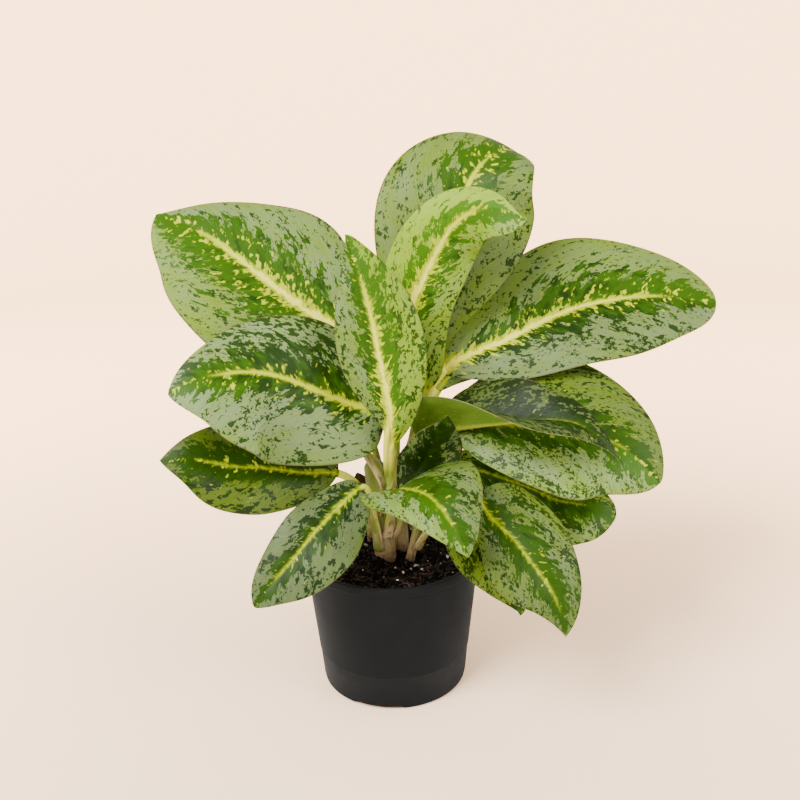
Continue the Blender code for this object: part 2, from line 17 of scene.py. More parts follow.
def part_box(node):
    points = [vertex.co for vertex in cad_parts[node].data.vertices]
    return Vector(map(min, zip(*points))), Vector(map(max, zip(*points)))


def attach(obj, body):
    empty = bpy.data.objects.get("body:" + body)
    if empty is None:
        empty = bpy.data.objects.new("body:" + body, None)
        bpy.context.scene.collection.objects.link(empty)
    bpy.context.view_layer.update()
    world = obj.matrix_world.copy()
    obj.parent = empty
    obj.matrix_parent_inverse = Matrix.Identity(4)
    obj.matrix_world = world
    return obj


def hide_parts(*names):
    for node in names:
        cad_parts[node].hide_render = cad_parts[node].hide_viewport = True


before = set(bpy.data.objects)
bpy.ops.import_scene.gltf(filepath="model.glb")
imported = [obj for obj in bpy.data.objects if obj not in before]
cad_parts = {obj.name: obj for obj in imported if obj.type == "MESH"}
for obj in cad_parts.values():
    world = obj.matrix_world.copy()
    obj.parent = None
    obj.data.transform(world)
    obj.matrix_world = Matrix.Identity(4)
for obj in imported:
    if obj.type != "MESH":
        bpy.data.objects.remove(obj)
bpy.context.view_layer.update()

bl_info = {
    "name": "Potted aglaonema",
    "version": (1, 0, 0),
    "blender": (4, 5, 0),
    "location": "3D View > Sidebar > Aglaonema",
    "description": "Builds the leaves, canes, soil and pot of a potted aglaonema",
    "category": "Object",
}

MM = 0.001
BODY = "root"
SHARP_ANGLE = 50.0

# Pot, from its solid: the rim is its widest place and the lip its upper edge
POT_LOW, POT_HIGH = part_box("pot")
POT_TOP_RADIUS = (POT_HIGH.x - POT_LOW.x) / 2 / MM
POT_HEIGHT = POT_HIGH.z / MM
POT_BASE_RADIUS = 49.3
POT_WALL = 1.5
POT_SEGMENTS = 168
POT_SPECULAR = 0.14
FLOOR_RISE = 3.2
FLOOR_THICKNESS = 1.6
FLOOR_SLOPE = 0.6
CENTRE_PAD_RADIUS = 25.0
INSIDE_CORNER = 3.0
LIP_HEIGHT = 6.0
LIP_STEP = 0.7
LIP_ROUND = 0.6
BASE_ROUND = 2.0
FOOT_WIDTH = 2.4
NOTCH_COUNT = 3
NOTCH_ANGLE = 42.0
NOTCH_HEIGHT = 2.2
NOTCH_ROUND_ANGLE = 3.0
FIRST_NOTCH = 257.0
DRAIN_COUNT = 6
DRAIN_RADIUS = 4.0
DRAIN_CIRCLE = 34.0
DRAIN_CUT_DEPTH = 8.0
DRAIN_SIDES = 32

# The step in the pot's wall: heights above its middle, and the share of the step that is still to come
SEAM_HEIGHT = 25.0
SEAM_STEP = 0.35
SEAM_PROFILE = ((-0.35, 1.0), (-0.12, 0.3), (0.1, 0.0))

# Heights where the wall is plain, and below the lip a height and how far the wall is drawn in there
PLAIN_WALL_HEIGHTS = (SEAM_HEIGHT + 1, 60.0)
FOOT_TOP = 4.0
LIP_NECK = ((1.2, 0.1), (0.3, 0.0))

# Soil
SOIL_WALL_GAP = 0.45
SOIL_EDGE_HEIGHT = 86.5
SOIL_EDGE_DIP = 1.0
SOIL_MOUND = 3.0
SOIL_SEGMENTS = 150
SOIL_RINGS = 56
SOIL_SPECULAR = 0.05

# Lumps of the soil: how wide, how high, and the level of the noise that they come from
SOIL_LUMP = (9.0, 3.2, 3.0)
SOIL_FINE_LUMPS = ((2.6, 0.9, 7.0), (1.1, 0.4, 9.0))

# Crumbs, fibres and perlite on the soil, and how far they stay from the wall and from the canes
LITTER_SEED = 11
LITTER_WALL_GAP = 1.5
LITTER_CANE_GAP = 1.0
CRUMB_SIZES = (0.5, 2.0)
PERLITE_SIZES = (0.45, 1.8)
PERLITE_SHADE = (0.45, 0.4, 0.33)
GRAIN_RISE = 0.25
FIBRE_POINTS = 7
FIBRE_LENGTHS = (3, 11)
FIBRE_BENDS = (-1.2, 1.2)
FIBRE_HALF_WIDTHS = (0.14, 0.32)
FIBRE_RISE = 0.7
FIBRE_UNEVEN = (-0.2, 0.35)
FIBRE_TAPER = 0.7

# Canes: the collars at their joints are highest at the foot, and their tops are domed
CANE_SIDES = 36
CANE_STEPS = 70
CANE_JOINT_GAP = 8.5
CANE_COLLAR_RISE = 0.25
CANE_COLLAR_SHARPNESS = 24
CANE_COLLAR_FADE = 0.8
CANE_DOME_START = 0.93
CANE_DOME_LEAST = 0.05
STEM_HOLE_DEPTH = 14.0
CLEARANCE = 0.3

# Leaves: points across a half of the blade, and the places where folds and widths are given
BLADE_COLUMNS = np.array(
    (0.025, 0.06, 0.105, 0.16, 0.225, 0.3, 0.38, 0.465, 0.55, 0.635, 0.72, 0.8, 0.87, 0.93, 0.975, 1.0)
)
BLADE_STATIONS = 72
BLADE_LEAST_WIDTH = 0.4
STALK_STATIONS = 26
FOLD_STATIONS = (0.0, 0.5, 1.0)
WIDTH_STATIONS = (0.2, 0.5, 0.8)
FOLDING_WIDTH = 14.0
ROUND_BASE_END = 0.3
BLADE_SPREAD = 0.8
RIPPLE_WAVES = 2.3
RIPPLE_LAG = 0.25
LOBE_LENGTH = 0.4
MARGIN_THINNING = 0.45
TIP_THINNING = 0.6
LEAF_SEED_STEP = 7.0
DRY_SHEATH_SEED = 3.0
LEAF_SPECULAR = 0.14
BLADE_THICKNESS = 0.8

# Midrib: keel below, groove above, and how wide both are
RIB_KEEL = 1.5
RIB_GROOVE = 0.45
RIB_REACH = 2.2

# Side veins: how they leave the midrib and sweep forward, and the quilted relief between them
VEIN_START = 0.75
VEIN_SWEEP = 0.6
VEIN_LENGTH = 1.25
VEIN_STRETCH = 0.45
VEIN_SPACING = 8.0
QUILT_HEIGHT = 0.22
QUILT_MIDDLE = 0.6
QUILT_START = 6.0
QUILT_FADE = 4.0

# Stalks: a sheath bent round the cane at first, and then round with a groove along the upper side
SHEATH_SPREAD = 1.7
SHEATH_HALF_DEPTH = 2.0
SHEATH_LENGTH = 0.5
STALK_HALF_DEPTH = 2.6
STALK_GROOVE_DEPTH = 0.5
STALK_GROOVE_WIDTH = 1.1

# Look of a leaf's faces, which is the place of their material in the list
UPPER, LOWER, EDGE, STALK = range(4)

# What a leaf gives to its markings for each half, and the colours that all leaves share
SIDED_MARKINGS = ("Green", "Bright", "Flecks", "Warm", "Tone")
MARKING_COLOURS = ("Silver", "Silver warm", "Bright green", "Dark green", "Cream", "Yellow", "Margin")

# Noises of the markings: sizes along the leaf and along the veins, place, detail and roughness
MARKS = {
    "cloud": ((22, 26), 0, 2.0, 0.5),
    "mottle": ((1.5, 3.0), 3, 3.0, 0.6),
    "flecks": ((2.7, 1.9), 5, 2.0, 0.55),
    "fleck crowds": ((12, 16), 9, 1.0, 0.5),
    "blotches": ((6.0, 4.2), 31, 3.0, 0.65),
    "fingers": ((7.5, 13), 2, 3.0, 0.6),
    "ragged edge": ((2.2, 4.2), 7, 2.0, 0.6),
    "islands": ((4.2, 6.5), 12, 3.0, 0.6),
    "shade": ((7, 10), 4, 2.0, 0.5),
    "pale": ((3.0, 4.4), 11, 1.5, 0.5),
    "pale crowds": ((9, 15), 27, 1.0, 0.5),
    "stray": ((2.4, 4.6), 21, 1.0, 0.5),
    "fine lines": ((0.9, 24), 41, 2.0, 0.6),
    "uneven": ((4.0, 5.0), 15, 4.0, 0.7),
    "spikes": ((2.6, 7.5), 13, 2.5, 0.65),
    "bursts": ((9, 40), 19, 1.0, 0.5),
}
WARP_PLACE = 17.0

# Camera: its place in front of the plant and the slight roll of the horizon
CAMERA_PLACE = (7.7, -582.9, 388.3)
CAMERA_PITCH = 18.0
CAMERA_ROLL = 1.3
CAMERA_LENS = 42.75
SENSOR_WIDTH = 36.0
NEAR_CLIP = 10.0

# Lights: place, diameter, and the setting that gives the power. They look at the plant's middle
LIGHTS = {
    "key_light": ((-900, -900, 1500), 1100, "key_power"),
    "fill_light": ((1200, -700, 900), 900, "fill_power"),
}
LIGHT_COLOUR = (1.0, 0.99, 0.97)
PLANT_MIDDLE = (0, 0, 180)

# Backdrop: radii on the level floor, the bend up into the wall, and the wall's top
BACKDROP_SIDES = 96
BACKDROP_FLOOR = (400, 900, 1500)
BACKDROP_BEND = (1500, 700, 700, -85, 0, 12)
BACKDROP_TOP = (2200, 2600)

# The middle of the painted shade on the floor in front of the pot, where the camera sees the floor darkest,
# and how far the backdrop takes to turn from this painted shade to its far colour, in metres
PAINTED_SHADE_SPOT = (0.0, -0.25, 0.0)
PAINTED_SHADE_REACH = (0.1, 1.3)


@dataclass
class Stem:
    """A short cane: two points of its axis above the soil and its radius at foot and top."""

    foot: tuple
    top: tuple
    foot_radius: float
    top_radius: float


@dataclass
class Leaf:
    """One leaf: its shape first, as in the solid that it stands for, and then its markings.

    seat is the cane, the heading round it and the height where the leaf stalk sits on it.
    stalk and rib are points along the stalk and the midrib, from the cane to the tip.
    left and right are the half widths at WIDTH_STATIONS, seen from the stalk to the tip.
    faces is the way that the upper side looks at the blade's base and at its tip.
    left_fold and right_fold are the angles that each half rises by at FOLD_STATIONS.
    curl is how far each half bends back down from the midrib to its margin.
    lobe is how far the blade's base reaches back past the end of the stalk.
    base_fullness and tip_fullness are lower for a blunt end and higher for a pointed one.
    wave is the height of the ripple along the margins, and stalk_radius the half width of the stalk.
    green is how far the green zone reaches towards the margin on the left and on the right half.
    bright, flecks, warm and tone are, for each half, how light the green is, how many flecks there
    are, how yellow the silver is and how light the half is altogether. The tone is partly the blade's
    own lightness and partly painted light and shade: it darkens halves that lie in the shade of other
    leaves and lightens a half that light shines through. green_start is where the green zone starts
    along the blade, cream how wide the pale midrib is, and fleck_size how large flecks are.
    """

    seat: tuple
    stalk: tuple
    rib: tuple
    left: tuple
    right: tuple
    faces: tuple
    left_fold: tuple = (14, 12, 8)
    right_fold: tuple = (14, 12, 8)
    curl: float = 25.0
    lobe: float = 0.0
    base_fullness: float = 0.5
    tip_fullness: float = 0.45
    wave: float = 1.0
    stalk_radius: float = 2.5
    green: tuple = (0.45, 0.45)
    bright: tuple = (0.5, 0.5)
    flecks: tuple = (0.5, 0.5)
    warm: tuple = (0.4, 0.4)
    tone: tuple = (1.0, 1.0)
    green_start: float = 0.0
    cream: float = 1.0
    fleck_size: float = 1.0


STEMS = {
    "stem_main": Stem((-4, -3, 86), (-10.5, -5, 160), 7.2, 7.0),
    "stem_right": Stem((11.5, -7.5, 86), (18, -14, 118), 3.2, 2.8),
    "stem_back": Stem((6, 9, 86), (7, 8, 142), 5.4, 4.2),
}

LEAVES = {
    "leaf_centre": Leaf(
        seat=("stem_main", 310, 124), stalk=((0, -18, 147),),
        rib=((0, -28, 174), (1, -33, 203), (-4, -29, 234),
             (-10, -23, 266), (-16, -17, 287), (-23, -8, 307)),
        left=(12, 25, 18), right=(19, 30, 25), faces=((0.1, -1, 0.25), (0.1, -1, 0.5)),
        right_fold=(36, 16, 8), base_fullness=0.3, stalk_radius=3.6,
        green=(0.5, 0.4), bright=(0.75, 0.85), flecks=(0.6, 0.8), warm=(0.45, 1.0), tone=(0.88, 1.15),
        cream=1.25,
    ),
    "leaf_top_front": Leaf(
        seat=("stem_back", 315, 138), stalk=((15, 2, 172),),
        rib=((20, 4, 203), (14, 8, 233), (19, 12, 264), (29, 12, 285),
             (43, 6, 309), (63, -8, 321), (84, -26, 316)),
        left=(17, 28, 17), right=(32, 25, 26), faces=((-0.1, -1, 0.3), (-0.2, -0.9, 0.5)),
        right_fold=(14, 8, 4),
        # Its left half's high warmth and tone are a painted glow of light shining through the blade
        green=(0.42, 0.5), bright=(0.9, 0.8), flecks=(0.35, 0.55), warm=(1.5, 0.8), tone=(1.55, 1.2),
        cream=1.7,
    ),
    "leaf_top_back": Leaf(
        seat=("stem_back", 100, 136), stalk=((17, 18, 172), (22, 17, 195)),
        rib=((27, 18, 212), (28, 21, 243), (36, 29, 282), (47, 37, 312),
             (61, 47, 339), (79, 60, 350), (94, 76, 345)),
        left=(29, 52, 49), right=(33, 49, 46), faces=((-0.1, -1, 0.2), (0.2, -0.3, 1)),
        right_fold=(22, 8, 8),
        green=(0.45, 0.5), bright=(0.7, 0.7), warm=(0.6, 0.5), tone=(0.85, 0.8), green_start=0.55,
        cream=1.2,
    ),
    "leaf_upper_left": Leaf(
        seat=("stem_main", 315, 142), stalk=((-7, -16, 157), (-15, -13, 168), (-23, 4, 202)),
        rib=((-19, 14, 228), (-42, 20, 248), (-73, 28, 270),
             (-98, 35, 289), (-124, 42, 306), (-149, 46, 315)),
        left=(62, 59, 56), right=(50, 59, 37), faces=((0.2, -1, 0.6), (0.1, -0.8, 0.8)), lobe=0.2,
        base_fullness=0.4, wave=0.3, stalk_radius=2.8,
        green=(0.55, 0.5), bright=(0.7, 0.7), flecks=(0.45, 0.4), warm=(0.65, 0.35), tone=(1.0, 0.95),
        cream=1.8,
    ),
    "leaf_left": Leaf(
        seat=("stem_main", 5, 128), stalk=((4, -6, 160),),
        rib=((0, -10, 191), (-20, -15, 201), (-48, -24, 216), (-75, -34, 229),
             (-100, -43, 231), (-117, -49, 228), (-128, -52, 222)),
        left=(46, 54, 61), right=(42, 42, 32), faces=((0.1, -1, 0.5), (0.0, -0.9, 0.8)), lobe=0.4,
        tip_fullness=0.65,
        green=(0.33, 0.5), bright=(0.4, 0.4), flecks=(0.52, 0.8), warm=(0.15, 0.1), tone=(0.95, 0.97),
        cream=0.85, fleck_size=1.15,
    ),
    "leaf_lower_left": Leaf(
        seat=("stem_main", 210, 108), stalk=((-17, -15, 134), (-21, -17, 147)),
        rib=((-33, -20, 157), (-48, -26, 160), (-74, -34, 167),
             (-100, -42, 173), (-120, -50, 181), (-137, -52, 181)),
        left=(22, 32, 38), right=(36, 38, 36), faces=((0.1, -1, 0.7), (0.0, -0.9, 0.9)),
        tip_fullness=0.85,
        # Its low tone is painted shade from the leaf above it
        green=(0.4, 0.55), bright=(0.8, 0.9), flecks=(0.75, 0.7), warm=(1.0, 0.8), tone=(0.46, 0.45),
        cream=0.35, fleck_size=1.2,
    ),
    "leaf_front_left": Leaf(
        seat=("stem_main", 248, 98), stalk=((-12, -23, 136),),
        rib=((-17, -32, 152), (-30, -45, 147), (-46, -60, 135),
             (-63, -74, 119), (-75, -83, 108), (-81, -86, 100)),
        left=(26, 30, 27), right=(18, 20, 20), faces=((0.1, -0.8, 0.9), (-0.1, -1.0, 0.5)),
        tip_fullness=0.65,
        green=(0.4, 0.35), flecks=(0.6, 0.7), warm=(0.1, 0.15), tone=(0.52, 0.5), cream=0.42,
    ),
    "leaf_front_small": Leaf(
        seat=("stem_main", 290, 108), stalk=((1, -26, 136),),
        rib=((3, -40, 152), (15, -64, 163), (27, -84, 164),
             (36, -97, 155), (41, -102, 147), (44, -104, 139)),
        left=(36, 40, 39), right=(28, 28, 27), faces=((0, -0.3, 1), (0.2, -1, 0.4)),
        right_fold=(24, 14, 8), lobe=0.35, base_fullness=0.3, tip_fullness=0.85,
        green=(0.36, 0.42), bright=(0.75, 0.75), flecks=(0.72, 0.68), warm=(0.5, 0.5), tone=(0.68, 1.0),
        cream=0.32, fleck_size=0.8,
    ),
    "leaf_inner_small": Leaf(
        seat=("stem_main", 335, 106), stalk=((6, -11, 122),),
        rib=((8, -16, 136), (16, -21, 154), (27, -33, 180), (36, -48, 204)),
        left=(12, 17, 15), right=(10, 22, 24), faces=((0.2, -1, 0.3), (0.2, -1, 0.3)),
        tip_fullness=0.85,
        green=(0.6, 0.5), bright=(0.1, 0.1), flecks=(1.1, 1.0), warm=(0.3, 0.3), tone=(0.75, 0.75),
        cream=0.1, fleck_size=0.85,
    ),
    "leaf_right_folded": Leaf(
        seat=("stem_back", 290, 122), stalk=((10, -5, 150), (13, -6, 166)),
        rib=((22, -8, 176), (35, -17, 183), (49, -25, 188), (69, -33, 193),
             (90, -41, 197), (113, -49, 197), (127, -55, 189), (139, -61, 175)),
        left=(30, 30, 18), right=(42, 44, 24), faces=((0, -0.3, 1), (0, -0.5, 1)),
        left_fold=(34, 44, 30), right_fold=(100, 54, 5), lobe=0.2, tip_fullness=0.95,
        green=(0.45, 0.42), bright=(0.45, 0.45), flecks=(1.0, 0.95), warm=(0.55, 0.5),
        # Its low tone is painted shade from the leaf above it
        tone=(0.42, 0.46), cream=0.2, fleck_size=0.95,
    ),
    "leaf_right": Leaf(
        seat=("stem_back", 338, 114), stalk=((23, 1, 156),),
        rib=((35, -8, 180), (59, -16, 186), (89, -22, 187), (119, -28, 184),
             (145, -36, 176), (156, -40, 167), (166, -44, 155)),
        left=(57, 56, 38), right=(33, 44, 44), faces=((0, -0.6, 1), (0, -0.8, 0.8)),
        right_fold=(-6, 4, 8),
        green=(0.35, 0.36), bright=(0.65, 0.6), flecks=(0.65, 0.66), warm=(0.7, 0.4), tone=(0.62, 1.15),
        cream=0.5, fleck_size=0.8,
    ),
    "leaf_lower_right": Leaf(
        seat=("stem_back", 10, 104), stalk=((26, 8, 130),),
        rib=((43, 6, 147), (77, 4, 140), (95, 0, 134),
             (112, -6, 128), (131, -12, 126), (146, -16, 117)),
        left=(24, 22, 22), right=(38, 30, 36), faces=((0, -0.6, 1), (0, -0.8, 0.8)), base_fullness=0.4,
        green=(0.5, 0.45), bright=(0.45, 0.4), flecks=(0.9, 0.9), warm=(0.9, 0.6), tone=(1.15, 1.15),
        cream=0.3, fleck_size=0.8,
    ),
    "leaf_front_right": Leaf(
        seat=("stem_right", 0, 116), stalk=((31, -10, 138), (46, -20, 156)),
        rib=((55, -44, 152), (58, -52, 145), (73, -66, 132),
             (84, -78, 120), (95, -86, 105), (103, -90, 78)),
        left=(30, 32, 34), right=(14, 30, 27), faces=((0.1, -0.8, 0.9), (0.2, -1.0, 0.4)), lobe=0.5,
        base_fullness=0.4, tip_fullness=0.85, bright=(0.8, 0.8), flecks=(0.85, 0.7), warm=(0.5, 0.45),
        tone=(0.66, 0.64), cream=0.34, fleck_size=0.75,
    ),
    "leaf_under_right": Leaf(
        seat=("stem_right", 310, 100), stalk=((27, -24, 124),),
        rib=((39, -30, 138), (50, -40, 125), (62, -50, 109), (72, -57, 91), (80, -60, 75)),
        left=(18, 18, 16), right=(22, 20, 10), faces=((0.1, -0.8, 0.7), (0.2, -1.0, 0.4)),
        green=(0.3, 0.2), bright=(0.2, 0.2), flecks=(0.9, 0.8), warm=(0.9, 1.0), tone=(0.85, 0.85),
        cream=0.4, fleck_size=0.75,
    ),
    "leaf_upper_right": Leaf(
        seat=("stem_back", 27, 130), stalk=((19, 9, 160), (22.5, 8, 192)),
        rib=((36, 14, 213), (73, 20, 230), (113, 26, 247),
             (153, 32, 255), (190, 34, 255), (218, 32, 250)),
        left=(40, 57, 52), right=(36, 44, 45), faces=((0, -0.8, 0.8), (0, -0.7, 0.9)), lobe=0.2,
        stalk_radius=3.0,
        green=(0.45, 0.42), bright=(0.6, 0.4), flecks=(0.45, 0.62), warm=(0.5, 0.2), tone=(0.92, 0.8),
        cream=1.35,
    ),
    "leaf_back_left": Leaf(
        seat=("stem_back", 175, 112), stalk=((-6, 16, 138), (-14, 25, 166)),
        rib=((-34, 36, 188), (-57, 56, 202), (-80, 78, 206), (-100, 100, 198)),
        left=(26, 32, 24), right=(26, 32, 24), faces=((0.5, -0.4, 1), (0.4, 0.1, 1)), flecks=(0.6, 0.6),
        cream=0.8,
    ),
    "leaf_back": Leaf(
        seat=("stem_back", 120, 122), stalk=((4, 32, 160),),
        rib=((2, 44, 184), (-4, 70, 206), (-10, 98, 214), (-14, 124, 206)),
        left=(28, 36, 27), right=(28, 36, 27), faces=((0, -0.6, 1), (0, 0.2, 1)),
        green=(0.4, 0.4), cream=1.2,
    ),
    "leaf_back_right": Leaf(
        seat=("stem_back", 55, 108), stalk=((21, 30, 160),),
        rib=((34, 45, 190), (60, 65, 206), (88, 87, 208), (112, 108, 198)),
        left=(25, 31, 24), right=(25, 31, 24), faces=((-0.4, -0.4, 1), (-0.3, 0.1, 1)),
        bright=(0.4, 0.4), flecks=(0.65, 0.65), cream=0.7,
    ),
}

DRY_SHEATH = Leaf(
    seat=("stem_main", 165, 100), stalk=((-15, 2, 114),), rib=((-17, 3, 124), (-19, 4, 134), (-22, 5, 147)),
    left=(7, 8, 6), right=(7, 8, 6), faces=((0.6, -1, 0.2), (0.5, -1, 0.3)), wave=0.3,
)


# Sizes and colours that a user may change

def colour_property(name, description, default, most=1.0):
    """A colour that a user may change."""
    return bpy.props.FloatVectorProperty(
        name=name, description=description, default=default, subtype="COLOR", size=3, min=0.0, max=most
    )


def count_property(name, description, default, most):
    """A number of grains that a user may change."""
    return bpy.props.IntProperty(name=name, description=description, default=default, min=0, max=most)


def length_property(name, description, default, least, most):
    """A length in metres that a user may change, from values in millimetres."""
    return bpy.props.FloatProperty(
        name=name, description=description, default=default * MM, min=least * MM, max=most * MM, unit="LENGTH"
    )


def power_property(name, description, default):
    """The power of a light that a user may change."""
    return bpy.props.FloatProperty(name=name, description=description, default=default, min=0.0, unit="POWER")


class PotSettings(bpy.types.PropertyGroup):
    colour: colour_property("Colour", "Colour of the pot's plastic", (0.0053, 0.0058, 0.0066))
    roughness: bpy.props.FloatProperty(
        name="Roughness", description="How matt the plastic is", default=0.42, min=0, max=1, subtype="FACTOR"
    )
    lip_round: length_property("Lip rounding", "Radius of the lip's edges, in metres", LIP_ROUND, 0.1, 1.5)


class SoilSettings(bpy.types.PropertyGroup):
    dark: colour_property("Dark", "Colour of the damp peat", (0.0025, 0.0018, 0.0015))
    light: colour_property("Light", "Colour of the drier crumbs", (0.014, 0.008, 0.005))
    fibre: colour_property("Fibre", "Colour of the bark fibres", (0.17, 0.06, 0.024))
    perlite: colour_property("Perlite", "Colour of the perlite grains", (0.75, 0.72, 0.66))
    crumbs: count_property("Crumbs", "Number of loose crumbs", 1500, 3000)
    fibres: count_property("Fibres", "Number of bark fibres", 170, 400)
    grains: count_property("Grains", "Number of perlite grains", 75, 300)


class CaneSettings(bpy.types.PropertyGroup):
    green: colour_property("Green", "Colour of the young cane", (0.24, 0.30, 0.025))
    cream: colour_property("Cream", "Colour of the lower cane", (0.66, 0.48, 0.27))
    scar: colour_property("Scar", "Colour of the leaf scars and of the stained foot", (0.10, 0.05, 0.025))


class LeafSettings(bpy.types.PropertyGroup):
    thickness: length_property(
        "Thickness", "Thickness of the blade beside the midrib, in metres", BLADE_THICKNESS, 0.4, 1.2
    )
    silver: colour_property("Silver", "Cool silver of the blade", (0.195, 0.275, 0.100))
    silver_warm: colour_property("Warm silver", "Yellow-green silver of the blade", (0.175, 0.27, 0.006))
    bright_green: colour_property("Bright green", "Light patches beside the midrib", (0.040, 0.115, 0.0005))
    dark_green: colour_property("Dark green", "Dark patches and flecks", (0.014, 0.042, 0.0015))
    cream: colour_property("Cream", "Middle of the midrib", (0.95, 0.90, 0.10))
    yellow: colour_property("Yellow", "Feathered edge of the midrib and pale flecks", (0.50, 0.58, 0.002))
    margin: colour_property("Margin", "Thin line round the blade", (0.10, 0.095, 0.025))
    underside: colour_property("Underside", "Lower side of the blade", (0.15, 0.27, 0.022))
    stalk_base: colour_property("Stalk base", "Pinkish cream foot of the stalk", (0.72, 0.52, 0.30))
    stalk_top: colour_property("Stalk top", "Yellow-green end of the stalk", (0.46, 0.50, 0.045))
    dry: colour_property("Dry sheath", "Brown of the dead sheath", (0.07, 0.035, 0.018))


class StageSettings(bpy.types.PropertyGroup):
    floor: colour_property("Floor", "Colour of the floor and backdrop", (0.75, 0.70, 0.66))
    # The floor near the pot, which the camera sees darker: painted shade
    painted_shade_floor: colour_property(
        "Near floor", "How bright the camera sees the floor near the pot", (1.6, 1.16, 0.81), 10.0
    )
    far: colour_property(
        "Far backdrop", "How bright the camera sees the far backdrop", (4.8, 3.0, 1.65), 10.0
    )
    key_power: power_property("Key light", "Power of the large soft light", 58.0)
    fill_power: power_property("Fill light", "Power of the light from the other side", 16.0)
    sky: bpy.props.FloatProperty(
        name="Sky", description="Strength of the light from all round", default=0.6, min=0.0
    )


# Meshes

def tube_faces(ring_count, sides, closed=True):
    """Faces of a skin over one first point, rings of points, and one last point where it is closed."""
    faces = []
    last = 1 + (ring_count - 1) * sides
    for side in range(sides):
        following = (side + 1) % sides
        faces.append((0, 1 + following, 1 + side))
        if closed:
            faces.append((last + sides, last + side, last + following))
        for low in range(1, last, sides):
            high = low + sides
            faces.append((low + side, low + following, high + following, high + side))
    return faces


def mesh_object(name, vertices, faces, materials, vectors=None, looks=None):
    """A smooth object from points in millimetres.

    vectors holds, by name, a vector for each point that the materials read. looks is the place of
    each face's material in the list.
    """
    mesh = bpy.data.meshes.new(name)
    mesh.from_pydata((np.asarray(vertices, float) * MM).tolist(), [], faces)
    work = bmesh.new()
    work.from_mesh(mesh)
    if work.calc_volume(signed=True) < 0:
        bmesh.ops.reverse_faces(work, faces=work.faces)
    work.to_mesh(mesh)
    work.free()
    mesh.shade_smooth()
    mesh.set_sharp_from_angle(angle=math.radians(SHARP_ANGLE))
    for material in materials:
        mesh.materials.append(material)
    if looks is not None:
        mesh.polygons.foreach_set("material_index", looks)
    for kind, values in (vectors or {}).items():
        attribute = mesh.attributes.new(kind, "FLOAT_VECTOR", "POINT")
        attribute.data.foreach_set("vector", np.asarray(values, np.float32).ravel())
    thing = bpy.data.objects.new(name, mesh)
    bpy.context.scene.collection.objects.link(thing)
    return thing


def stands_for(piece, slot, *nodes):
    """The piece rides on the body and hides the solids that it stands for; slot is not used."""
    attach(piece, BODY)
    if nodes:
        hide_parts(*nodes)


def unit(vectors):
    """The same vectors with length one."""
    return vectors / np.linalg.norm(vectors, axis=-1, keepdims=True)


def smooth_curve(points, fractions):
    """Points on the natural cubic curve through the given ones, at fractions of its chord length."""
    knots = np.asarray(points, float)
    chords = np.linalg.norm(np.diff(knots, axis=0), axis=1)
    places = np.concatenate([[0.0], np.cumsum(chords)]) / chords.sum()
    steps = np.diff(places)
    system = np.eye(len(knots))
    bends = np.zeros_like(knots)
    for index in range(1, len(knots) - 1):
        before, after = steps[index - 1], steps[index]
        system[index, index - 1 : index + 2] = (before, 2 * (before + after), after)
        slope_change = (knots[index + 1] - knots[index]) / after - (knots[index] - knots[index - 1]) / before
        bends[index] = 6 * slope_change
    bends = np.linalg.solve(system, bends)
    spans = np.clip(np.searchsorted(places, fractions, side="right") - 1, 0, len(steps) - 1)
    along = (np.asarray(fractions) - places[spans])[:, None]
    step = steps[spans][:, None]
    slope = (knots[spans + 1] - knots[spans]) / step - step * (2 * bends[spans] + bends[spans + 1]) / 6
    cubic = (bends[spans + 1] - bends[spans]) / (6 * step)
    return knots[spans] + along * slope + along**2 * bends[spans] / 2 + along**3 * cubic


def smooth_step(value):
    """0 to 1 with level ends."""
    value = np.clip(value, 0.0, 1.0)
    return value * value * (3 - 2 * value)


def stem_point(stem, height):
    """The cane's axis and radius at a height."""
    foot, top = np.array(stem.foot, float), np.array(stem.top, float)
    share = (height - foot[2]) / (top[2] - foot[2])
    radius = stem.foot_radius + (stem.top_radius - stem.foot_radius) * share
    return foot + (top - foot) * share, radius


def half_width(fraction, widths, leaf):
    """The blade's half width at a fraction of its length, 0 at base and tip."""
    base_power, tip_power = leaf.base_fullness, leaf.tip_fullness
    peak = base_power / (base_power + tip_power)
    outline = fraction**base_power * (1 - fraction) ** tip_power
    outline = outline / (peak**base_power * (1 - peak) ** tip_power)
    first, middle, last = widths
    place = (fraction - WIDTH_STATIONS[1]) / (WIDTH_STATIONS[2] - WIDTH_STATIONS[1])
    scale = middle + (last - first) / 2 * place + ((first + last) / 2 - middle) * place**2
    return max(outline * max(scale, 0.0), BLADE_LEAST_WIDTH)


def leaf_path(leaf):
    """All points that the stalk and midrib run through, where the blade starts, and the way out."""
    stem_name, heading, height = leaf.seat
    axis, radius = stem_point(STEMS[stem_name], height)
    out = np.array([math.cos(math.radians(heading)), math.sin(math.radians(heading)), 0.0])
    seat = axis + out * (radius + CLEARANCE + SHEATH_HALF_DEPTH)
    points = [seat, *leaf.stalk, *leaf.rib]
    chords = np.linalg.norm(np.diff(np.array(points, float), axis=0), axis=1)
    stalk_share = chords[: len(leaf.stalk) + 1].sum() / chords.sum()
    return points, stalk_share, out


def vein_place(along_length, side, fraction, width):
    """Where a point lies among the side veins: which vein runs through it, and how far out along it."""
    shift = width * (VEIN_START * fraction + VEIN_SWEEP * fraction**3)
    out_along = width * (VEIN_LENGTH * fraction + VEIN_STRETCH * fraction**3)
    return along_length - shift, side * out_along


